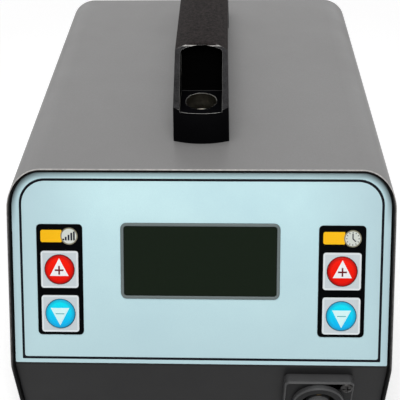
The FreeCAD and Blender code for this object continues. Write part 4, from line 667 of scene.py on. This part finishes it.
def square_post(spot, half, low, high):
    """Square bar square to the leaning sheet: its four corners, closed at both ends."""
    return plate(np.array([(half, half), (-half, half), (-half, -half), (half, -half)]) + spot, low, high)


def dome(reach):
    """Level of a cap's face at a distance from its middle: a low crown, higher in the middle by 0.35 mm."""
    return cap_top - 0.35 * mm * (reach / cap_radius) ** 2


def cap_print(corners, spot, lift):
    """Print that follows the dome: an outline drawn together to its middle in ten steps on the dome."""
    share = np.linspace(0, 1, 11)[:, None, None]
    middle = corners.mean(axis=0)
    spread = middle + share * (corners - middle)
    levels = dome(np.hypot(spread[..., 0], spread[..., 1]))
    placed = spread + spot
    top = on_panel(placed[..., 0], placed[..., 1], levels + lift)
    under = on_panel(placed[-1:, :, 0], placed[-1:, :, 1], levels[-1:] - ink)
    below = np.repeat(on_panel(*spot, dome(0) - 6 * ink)[None, None], len(corners), axis=1)
    return np.concatenate([top, under, below])


def dense(corners, steps):
    """Outline through corners with each side cut into equal steps."""
    share = np.linspace(0, 1, steps, endpoint=False)[None, :, None]
    return (corners[:, None] * (1 - share) + np.roll(corners, -1, axis=0)[:, None] * share).reshape(-1, 2)


def cap_plastic(name, top, bottom, rim, middle):
    """Glossy moulded plastic whose colour runs from a painted lit tone at the cap's top edge to a painted
    shaded one at its foot, as light from above falls, and to a deep one at its rim, which is painted shade."""
    material = finish_of(name, {"Coat Weight": 0.05, "Coat Roughness": 0.1, "Specular IOR Level": 0.06})
    speck = noise(material, 1900.0)
    slope = middle @ panel_up
    share = ramp(material, along(material, panel_up), slope - cap_radius, slope + cap_radius)
    feed(material, {
        "Base Color": mix(material, share, bottom, top),
        "Roughness": ramp(material, speck, 0, 1, 0.22, 0.34),
        "Normal": bump(material, speck, 0.003 * mm),
    })
    # Painted shade: the cap darkens towards its rim.
    out = reckon(material, "DISTANCE", place_of(material), tuple(middle), kind="VectorMath")
    tint(material, ramp(material, out, 5.2 * mm, 6.7 * mm), rim)
    return material


white_print = printed("white_print", (0.92, 0.92, 0.92), (0.86, 0.87, 0.88), (0.3, 0.4))
pale_print = printed("pale_print", (0.72, 0.96, 0.96), (0.62, 0.92, 0.93), (0.3, 0.4))
red_sign = printed("red_sign", (0.16, 0.006, 0.012), (0.11, 0.004, 0.010), (0.3, 0.4))
teal_sign = printed("teal_sign", (0.13, 0.46, 0.52), (0.10, 0.40, 0.46), (0.3, 0.4))
crown_rows = np.linspace(0, crown_reach, 16)
edge_turn = np.linspace(0, np.pi / 2, 7)[1:]
cap_profile = np.concatenate([
    np.stack([crown_rows, dome(crown_rows)], axis=-1),
    np.stack([crown_reach + rim_width * np.sin(edge_turn),
              dome(crown_reach) - rim_drop * (1 - np.cos(edge_turn))], axis=-1),
    [(cap_radius, cap_foot + 0.02 * mm), (cap_radius - 0.1 * mm, cap_foot), (0, cap_foot)],
])
# Tones of each cap: its painted lit top, its painted shaded foot and its painted shade at the rim.
red_tones = ((0.97, 0.012, 0.002), (0.82, 0.006, 0.001), (0.40, 0.003, 0.002))
blue_tones = ((0.003, 0.82, 0.93), (0.006, 0.44, 0.93), (0.014, 0.34, 0.58))
for word, side in (("power", -1), ("time", 1)):
    for way, tip, thick, tones, slot, arrow_ink, sign_ink in (
        ("up", 1, 0.36, red_tones, "button_red", white_print, red_sign),
        ("down", -1, 0.2, blue_tones, "button_blue", pale_print, teal_sign),
    ):
        body = word + "_" + way
        spot = np.array((side * button_column, -button_rows[way]))
        middle = on_panel(*spot, 0.0)
        stem = square_post(spot, 2.5 * mm, -5.2 * mm, cap_foot + 0.05 * mm)
        collar = square_post(spot, 3.9 * mm, -2.2 * mm, -1.3 * mm)
        plunger = square_post(spot, 1.4 * mm, -8.4 * mm, -5.2 * mm)
        skin(body + "_cap", [turned(cap_profile, middle, panel_out, columns=72), stem, collar, plunger],
             cap_plastic(body + "_plastic", *tones, middle), body, [body + "_button"])
        triangle = np.array([(0, 5.2), (-4.15, -2.75), (4.15, -2.75)]) * tip * mm
        skin(body + "_arrow", [cap_print(dense(triangle, 14), spot, ink)], arrow_ink, body)
        drop = np.array((0, -0.15 * tip)) * mm
        bar = dense(np.array([(1.95, thick), (-1.95, thick), (-1.95, -thick), (1.95, -thick)]) * mm, 5)
        upright_bar = bar[:, ::-1] * np.array((-1, 1))
        signs = [cap_print(bar + drop, spot, 2 * ink)]
        if way == "up":
            signs.append(cap_print(upright_bar + drop, spot, 2.5 * ink))
        skin(body + "_sign", signs, sign_ink, body)


# Tool socket
# Glass-filled black nylon: a square flange with bevelled edges, a round collar with a deep bore, and a
# centre boss with four brass contacts in its sides. Two black screws hold it to the sheet.
def middle_of(node):
    """Middle of a CAD node's box."""
    low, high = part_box(node)
    return (low + high) / 2


socket_nylon = grained("socket_nylon", (0.044, 0.044, 0.045), (0.034, 0.034, 0.035), (0.36, 0.46), 40, 1500,
                       0.012 * mm, 0.4)
# Painted shade: the faces that look straight ahead are darker than the rest of the nylon.
socket_front_shade = grained("socket_front_shade", (0.0095, 0.0095, 0.0100), (0.0065, 0.0065, 0.0070), (0.4, 0.5), 40,
                       1500, 0.012 * mm, 0.15)
# Painted highlight: the rounded edges are paler than the rest of the nylon.
socket_edge_highlight = grained("socket_edge_highlight", (0.080, 0.080, 0.082), (0.050, 0.050, 0.052), (0.36, 0.46), 90, 1500,
                      0.012 * mm, 0.4)
socket_shell = eased("socket_body", 0.34 * mm, socket_nylon, 3)
paint_faces(socket_shell, socket_front_shade, lambda facing, middles: facing[:, 1] < -0.9)
paint_rims(socket_shell, socket_edge_highlight)
eased("socket_insert", 0.25 * mm, socket_nylon)
contact_metal = zinc_plate("contact_metal", (0.20, 0.15, 0.08), 0.4)
eased("socket_contacts", 0.12 * mm, contact_metal, 1)
socket_middle = middle_of("socket_body")
flange_face = front_y - 4 * mm
screw_set("socket_screws", small_head, 9 * mm, [
    ((socket_middle.x + way * 12 * mm, flange_face, socket_middle.z + way * 9.5 * mm), -rear)
    for way in (-1, 1)], black_screw)


# Bridge handle
# Injection-moulded black nylon: a crowned grip with a fine spark-eroded grain, and smooth ends, each with
# an open pocket and a counterbore for its screw. The grip and its sloping sides are painted paler than the
# smooth ends as painted sheen, the pockets' rims carry a painted pale highlight, the pockets' walls are
# painted near black as shade, and the counterbores' walls are dark brown.
handle_middle = middle_of("handle").y
bolt_low, bolt_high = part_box("handle_screws")
bolt_rows = np.array((bolt_low.y + 6.15 * mm, bolt_high.y - 6.15 * mm))
grip_level = 150 * mm
floor_level = 143.4 * mm
floor_end = 50.5 * mm
bore_low, bore_high, bore_reach = 133 * mm, 144.2 * mm, 7.3 * mm


def rim_highlight_nylon():
    """Smooth black nylon with a painted pale highlight on its rounded edges above the level of the pockets'
    floors. The highlight is full up to 8 mm from the middle, a third of that up to 10 mm, none beyond, and
    none at the floors' inner ends."""
    material = finish_of("rim_highlight_nylon", {"Roughness": 0.3, "Specular IOR Level": 0.4})
    off = far_from(material, along(material, right), 0)
    height = along(material, up)
    reach = far_from(material, along(material, rear), handle_middle)
    rubs_and_highlight = product(material, ramp(material, noise(material, 420.0, 3.0), 0.3, 0.7, 0.6), [
        ramp(material, off, 8.0 * mm, 9.0 * mm, 1.0, 0.35),
        ramp(material, off, 10.0 * mm, 10.5 * mm, 1.0, 0.0),
        ramp(material, height, floor_level, floor_level + 0.5 * mm),
        reckon(material, "MAXIMUM", ramp(material, height, grip_level, grip_level + 1 * mm),
               ramp(material, reach, floor_end, floor_end + 0.4 * mm)),
    ])
    feed(material, {"Base Color": mix(material, rubs_and_highlight, (0.002, 0.002, 0.0024), (0.95, 0.95, 0.90))})
    return material


def is_grip(facing, middles):
    """The crown of the grip, which looks up."""
    return (facing[:, 2] > 0.8) & (middles[:, 2] > grip_level)


def is_flank(facing, middles):
    """The crown's sloping sides."""
    return (facing[:, 2] > 0.6) & (facing[:, 2] <= 0.8) & (abs(middles[:, 0]) > 8 * mm)


def is_pocket(facing, middles):
    """The pockets' side walls, which look at the middle line, and their leaning back walls."""
    side_wall = (facing[:, 0] * middles[:, 0] < -5 * mm) & (abs(middles[:, 0]) < 10 * mm)
    back_wall = (facing[:, 2] > 0.4) & (facing[:, 2] < 0.6) & (abs(middles[:, 1] - handle_middle) < 45 * mm)
    return side_wall | back_wall


def is_rim(facing, middles):
    """The narrow slope above each pocket's mouth."""
    sloping = (facing[:, 2] > 0.6) & (facing[:, 2] <= 0.8)
    return sloping & (abs(middles[:, 0]) < 8 * mm) & (middles[:, 2] > 160 * mm)


def is_bore(facing, middles):
    """The upright walls of the counterbores, near a screw's axis."""
    from_axis = np.hypot(middles[:, 0], abs(middles[:, 1:2] - bolt_rows).min(axis=1))
    in_height = (middles[:, 2] > bore_low) & (middles[:, 2] < bore_high)
    return (abs(facing[:, 2]) < 0.1) & in_height & (from_axis < bore_reach)


handle_smooth = grained("handle_smooth", (0.0018, 0.0018, 0.0024), (0.0010, 0.0010, 0.0014), (0.3, 0.42),
                        120, 900, 0.012 * mm, 0.035)
# Painted sheen: the grip's grain and its sloping sides have the nylon's own texture, painted far paler than
# the near-black smooth ends to stand for the sheen of the light above.
handle_grain = grained("handle_grain", (0.0270, 0.0210, 0.0205), (0.0003, 0.0002, 0.0002), (0.4, 0.6), 700,
                       1200, 0.04 * mm, 0.05)
handle_flank = grained("handle_flank", (0.0230, 0.0220, 0.0240), (0.0004, 0.0004, 0.0006), (0.3, 0.5), 300,
                       800, 0.03 * mm, 0.1)
# Painted highlight on the narrow slope above each pocket's mouth.
rim_slope_highlight = grained("rim_slope_highlight", (0.36, 0.35, 0.33), (0.14, 0.13, 0.12), (0.3, 0.45), 300, 800, 0.02 * mm)
# The counterbores' upright walls are dark brown, paler than the smooth ends.
bore_brown = grained("bore_brown", (0.016, 0.014, 0.009), (0.004, 0.0035, 0.0022), (0.4, 0.6), 300, 900,
                    0.02 * mm, 0.2)
# Painted shade: the pockets' walls are near black, darker than the smooth ends.
pocket_shade_black = grained("pocket_shade_black", (0.0003, 0.0003, 0.0003), (0.0002, 0.0002, 0.0002), (0.5, 0.6), 120,
                       900, 0.012 * mm, 0.008)
handle = eased("handle", 0.55 * mm, handle_smooth, 3)
for finish, rule in ((handle_grain, is_grip), (handle_flank, is_flank), (pocket_shade_black, is_pocket),
                     (rim_slope_highlight, is_rim), (bore_brown, is_bore)):
    paint_faces(handle, finish, rule)
paint_rims(handle, rim_highlight_nylon())
bolt_seat = bolt_high.z - 3.4 * mm
bolt_floor = bolt_seat - 1.2 * mm
bolt_length = bolt_seat - bolt_low.z - 0.9 * mm
washer = np.array([
    (3.1, 1.2), (5.9, 1.2), (6.1, 0.95), (6.1, 0.15), (6.0, 0.0), (3.1, 0.0), (3.1, 1.2)]) * mm
handle_screws = []
for y in bolt_rows:
    handle_screws += [
        cross_screw((0, y, bolt_seat), up, 5.2 * mm, 3.35 * mm, 2.9 * mm, bolt_length, 1.0 * mm),
        turned(washer, (0, y, bolt_floor), up, columns=64),
    ]
bolt_zinc = zinc_plate("bolt_zinc", (0.95, 0.93, 0.88), 0.5)
skin("handle_screws_turned", handle_screws, bolt_zinc, "case", ["handle_screws"])
for node in ("handle_nuts", "foot_nuts", "board_nuts", "board_standoffs", "earth_stud"):
    eased(node, 0.15 * mm, bright_zinc, 1)


# Fan
# A moulded frame, a rotor of five twisted blades on a hub cup, and a guard of round steel wire welded ring
# on arm, whose flattened eyes are held by the fan's screws.
fan_plastic = grained("fan_plastic", (0.026, 0.026, 0.027), (0.019, 0.019, 0.020), (0.42, 0.52), 60, 1500,
                      0.01 * mm)
eased("fan_frame", 0.3 * mm, fan_plastic)
fan_axis = np.array(middle_of("fan_frame")) * (1, 0, 1)
fan_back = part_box("fan_frame")[0].y
blade_middle = fan_back + 13.2 * mm
blade_half_depth = 8.9 * mm


def fan_blade(start, columns=40, rows=14):
    """Blade wrapped round the axis. The section is a thin lens bent to a bow of a tenth of its chord; its
    pitch falls from 42 degrees at the hub to 28 at the tip, and both ends shrink to a point."""
    share = np.linspace(0, 1, rows)[:, None]
    cosine, sine = circle(columns).T[:, None]
    chord = (22.0 + 4.5 * share) * mm
    along_chord = chord / 2 * cosine
    lens_shape = (0.75 - 0.2 * share) * mm * sine * np.sqrt(1 - 0.6 * cosine ** 2)
    bowed = 0.10 * chord * (1 - cosine ** 2) + lens_shape
    pitch = np.radians(42 - 14 * share)
    tangent = along_chord * np.cos(pitch) - bowed * np.sin(pitch)
    axial = along_chord * np.sin(pitch) + bowed * np.cos(pitch)
    radius = (17.4 + 19.8 * share) * mm
    tangent, axial, radius = (np.concatenate([a[:1], a, a[-1:]]) for a in (tangent, axial, radius))
    for end in (0, -1):
        tangent[end] = tangent[end].mean()
        axial[end] = axial[end].mean()
    angle = start + tangent / radius
    depth = blade_middle + np.clip(axial, -blade_half_depth, blade_half_depth)
    return fan_axis + np.stack([radius * np.cos(angle), depth, radius * np.sin(angle)], axis=-1)


cup = np.array([(0, 22.2), (9.0, 22.2), (9.4, 22.0), (16.6, 22.0), (17.6, 21.6), (18.0, 20.6), (18.0, 4.2),
                (16.4, 4.2), (16.4, 20.4), (1.5, 20.4), (1.5, 0.15), (0, 0.1)]) * mm
hub = turned(cup, fan_axis + fan_back * rear, rear, columns=72)
blades = [fan_blade(2 * np.pi * blade / 5) for blade in range(5)]
skin("fan_rotor_moulded", [hub] + blades, fan_plastic, "rotor", ["fan_rotor"])


def wire(path, side, closed=False, radius=0.8 * mm, sides=12):
    """Round wire along a flat path: at each point a circle in the plane of the side direction and the
    path's own normal. Open ends close in a point."""
    if closed:
        run = np.roll(path, -1, axis=0) - np.roll(path, 1, axis=0)
    else:
        run = np.concatenate([path[1:], path[-1:]]) - np.concatenate([path[:1], path[:-1]])
    normal = np.cross(run / np.linalg.norm(run, axis=1)[:, None], side)
    cosine, sine = circle(sides).T[:, None, :, None]
    rings = path[:, None] + radius * (cosine * normal[:, None] + sine * side)
    if closed:
        return np.concatenate([rings, rings[:1]])
    start, end = (np.repeat(point[:, None], sides, axis=1) for point in (path[:1], path[-1:]))
    return np.concatenate([start, rings, end])


guard_wires = []
guard_axis = fan_axis + rear_y * rear
ring_circle = np.insert(circle(96), 1, 0, axis=1)
ring_level = 4.2 * mm
for ring_radius in (12.53 * mm, 25.07 * mm, 37.6 * mm):
    ring = guard_axis + ring_radius * ring_circle + ring_level * rear
    guard_wires.append(wire(ring, rear, closed=True))
share = np.linspace(0, 1, 9)
step = np.clip((share * 9 - 1) / 7, 0, 1)
ease = step * step * (3 - 2 * step)
reach = np.concatenate([[11.6], np.linspace(38.9, 46.8, 9), [47.6]])[:, None] * mm
proud = np.concatenate([[2.65], 2.65 - 1.85 * ease, [0.8]])[:, None] * mm
eye_profile = np.array([(2.2, 0.1), (2.3, 0.0), (4.1, 0.0), (4.4, 0.3), (4.4, 1.3), (4.1, 1.6), (2.3, 1.6),
                        (2.2, 1.5), (2.2, 0.1)]) * mm
eye_reach = 50.56 * mm
for quarter in range(4):
    angle = np.pi / 4 + quarter * np.pi / 2
    out_way = np.array((np.cos(angle), 0, np.sin(angle)))
    guard_wires.append(wire(guard_axis + reach * out_way + proud * rear, np.cross(out_way, rear)))
    guard_wires.append(turned(eye_profile, guard_axis + eye_reach * out_way, rear))
guard_metal = zinc_plate("guard_metal", (0.62, 0.62, 0.61), 0.26)
skin("fan_guard_wire", guard_wires, guard_metal, "case", ["fan_guard"])
fan_screw_half = 35.75 * mm
eye_thickness = 1.6 * mm
screw_set("fan_screws", large_head, 11 * mm, [
    (guard_axis + fan_screw_half * (x * right + z * up) + eye_thickness * rear, rear)
    for x in (-1, 1) for z in (-1, 1)])


# Mains inlet and its fuse drawer
# Black thermoplastic moulding with three plated pins in a chamfered cavity, and a small drawer above that
# slides out with its glass fuse. Two screws hold its flange to the rear sheet.
inlet_plastic = grained("inlet_plastic", (0.024, 0.024, 0.025), (0.018, 0.018, 0.019), (0.34, 0.44), 60,
                        1700, 0.008 * mm)
eased("inlet_body", 0.3 * mm, inlet_plastic)
eased("inlet_pins", 0.35 * mm, bright_zinc)
eased("fuse_drawer", 0.22 * mm, inlet_plastic)
inlet_middle = middle_of("inlet_body")
inlet_screw_half = 20 * mm
inlet_face = rear_y + 3 * mm
screw_set("inlet_screws", small_head, 7 * mm, [
    ((inlet_middle.x + way * inlet_screw_half, inlet_face, inlet_middle.z), rear) for way in (-1, 1)])
fuse_glass = finish_of("fuse_glass", {
    "Base Color": (0.9, 0.95, 0.94, 1), "Transmission Weight": 0.9, "IOR": 1.47})
feed(fuse_glass, {"Roughness": ramp(fuse_glass, noise(fuse_glass, 700.0), 0, 1, 0.02, 0.08)})
fuse_low, fuse_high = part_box("mains_fuse")
fuse_middle = middle_of("mains_fuse")
fuse_left = (fuse_low.x, fuse_middle.y, fuse_middle.z)
fuse_right = (fuse_high.x, fuse_middle.y, fuse_middle.z)
tube = np.array([(0, 4.6), (2.2, 4.6), (2.5, 4.9), (2.5, 15.1), (2.2, 15.4), (0, 15.4)]) * mm
skin("fuse_tube", [turned(tube, fuse_left, right, columns=40)], fuse_glass, "drawer",
     ["mains_fuse"])
fuse_cap = np.array([(0, 0), (2.35, 0), (2.6, 0.3), (2.6, 4.9), (2.5, 5.0), (0, 5.0)]) * mm
fuse_ends = [turned(fuse_cap, seat, way, columns=40)
             for seat, way in ((fuse_left, right), (fuse_right, -right))]
skin("fuse_caps", fuse_ends, bright_zinc, "drawer")


# Rocker switch
# Black snap-in housing with a glossy rocker on two trunnions. A line and a ring, moulded in white, mark the
# closed and the open side.
eased("switch_housing", 0.25 * mm, inlet_plastic)
eased("switch_tabs", 0.12 * mm, contact_metal, 1)
rocker_gloss = grained("rocker_gloss", (0.020, 0.020, 0.021), (0.015, 0.015, 0.016), (0.2, 0.3), 60, 1700,
                       0.004 * mm)
eased("power_rocker", 0.3 * mm, rocker_gloss)
rocker_pivot = np.array(middle_of("power_rocker")) * (1, 0, 1) + (rear_y - 0.1 * mm) * rear
rocker_tilt = math.radians(9.5)
rocker_dip = 2.0 * mm


def on_rocker(a, b, lift):
    """Points on the rocker's two faces: across, along from the dip, and a lift, turned to its rest tilt."""
    out_way = rocker_dip + np.abs(b) * math.tan(rocker_tilt) + lift
    y = out_way * math.cos(rocker_tilt) + b * math.sin(rocker_tilt)
    z = b * math.cos(rocker_tilt) - out_way * math.sin(rocker_tilt)
    return rocker_pivot + np.stack([a, y, z], axis=-1)


mark_row = np.array((0, 4.6 * mm))
open_mark = band(mark_row + 1.5 * mm * circle(96), mark_row + 1.15 * mm * circle(96), -ink, ink, on_rocker)
closed_mark = plate(rounded(0.4 * mm, 3.0 * mm, 0.1 * mm, 4, -mark_row), -ink, ink, on_rocker)
skin("rocker_marks", [open_mark, closed_mark], white_print, "rocker")


# Boards and display module behind the panel
# Glass-fibre boards under green solder mask with buried tracks, the display's block, and the four small
# switches that the buttons press.
def dress(material, *nodes):
    """Puts a finish on CAD nodes that are shown as they are."""
    for node in nodes:
        for place in frame["nodes"][node].material_slots:
            place.material = material


board_green = finish_of("board_green_mask", {"Coat Weight": 0.4, "Coat Roughness": 0.15})
squares = add(board_green, "TexVoronoi", {"Vector": place_of(board_green), "Scale": 260.0},
              distance="MANHATTAN", feature="DISTANCE_TO_EDGE")
track = ramp(board_green, squares, 0.05, 0.09)
feed(board_green, {
    "Base Color": mix(board_green, track, (0.03, 0.20, 0.07), (0.012, 0.095, 0.035)),
    "Roughness": ramp(board_green, noise(board_green, 900.0), 0, 1, 0.25, 0.4),
    "Normal": bump(board_green, track, -0.03 * mm, 0.6),
})
part_black = grained("part_black", (0.032, 0.032, 0.034), (0.022, 0.022, 0.024), (0.45, 0.6), 80, 1500,
                     0.015 * mm)
dress(board_green, "control_board", "power_board")
dress(part_black, "display_module", "tact_switches")


# Power parts on the pan
# Electrolytic cans in printed sleeves, moulded film capacitors, a ferrite transformer with its copper
# winding, the choke, the relay, and the brass posts and terminal that take the leads.
film_yellow = grained("film_yellow", (0.74, 0.36, 0.035), (0.62, 0.29, 0.03), (0.4, 0.55), 90, 1300,
                      0.015 * mm)
ferrite_grey = grained("ferrite_grey", (0.075, 0.075, 0.08), (0.05, 0.05, 0.055), (0.6, 0.75), 200, 2400,
                       0.03 * mm)
copper = finish_of("copper_enamel", {
    "Metallic": 0.85, "Coat Weight": 0.5, "Coat Roughness": 0.2, "Roughness": 0.32})
turns = add(copper, "TexWave", {
    "Vector": place_of(copper), "Scale": 320.0, "Distortion": 0.4, "Detail": 1.0}, bands_direction="Z")
feed(copper, {
    "Base Color": mix(copper, turns, (0.30, 0.085, 0.03), (0.78, 0.33, 0.16)),
    "Normal": bump(copper, turns, 0.3 * mm),
})
lead_sleeve = grained("lead_sleeve", (0.060, 0.012, 0.010), (0.045, 0.009, 0.008), (0.4, 0.5), 60, 1600,
                      0.01 * mm)
ribbon_grey = grained("ribbon_grey", (0.34, 0.34, 0.35), (0.26, 0.26, 0.27), (0.45, 0.55), 60, 1600,
                      0.01 * mm)
dress(part_black, "bulk_capacitors", "mains_choke", "inrush_relay", "mains_terminal", "power_transistors",
      "bridge_rectifier")
dress(film_yellow, "resonant_capacitors")
dress(ferrite_grey, "transformer_core")
dress(copper, "transformer_winding")
dress(contact_metal, "output_posts")
dress(lead_sleeve, "wiring_harness")
dress(ribbon_grey, "panel_ribbon")


# Heatsink
# Extruded aluminium with nine level fins, drawn lines along its length and a soft grey bloom.
sink = finish_of("sink_aluminium", {"Metallic": 1.0})
drawn = add(sink, "Mapping", {"Vector": place_of(sink), "Scale": (2200.0, 14.0, 2200.0)})
draw_lines = add(sink, "TexNoise", {"Vector": drawn, "Scale": 1.0, "Detail": 3.0})
feed(sink, {
    "Base Color": mix(sink, draw_lines, (0.60, 0.61, 0.62), (0.78, 0.79, 0.80)),
    "Roughness": ramp(sink, draw_lines, 0, 1, 0.3, 0.48),
})
dress(sink, "heatsink")
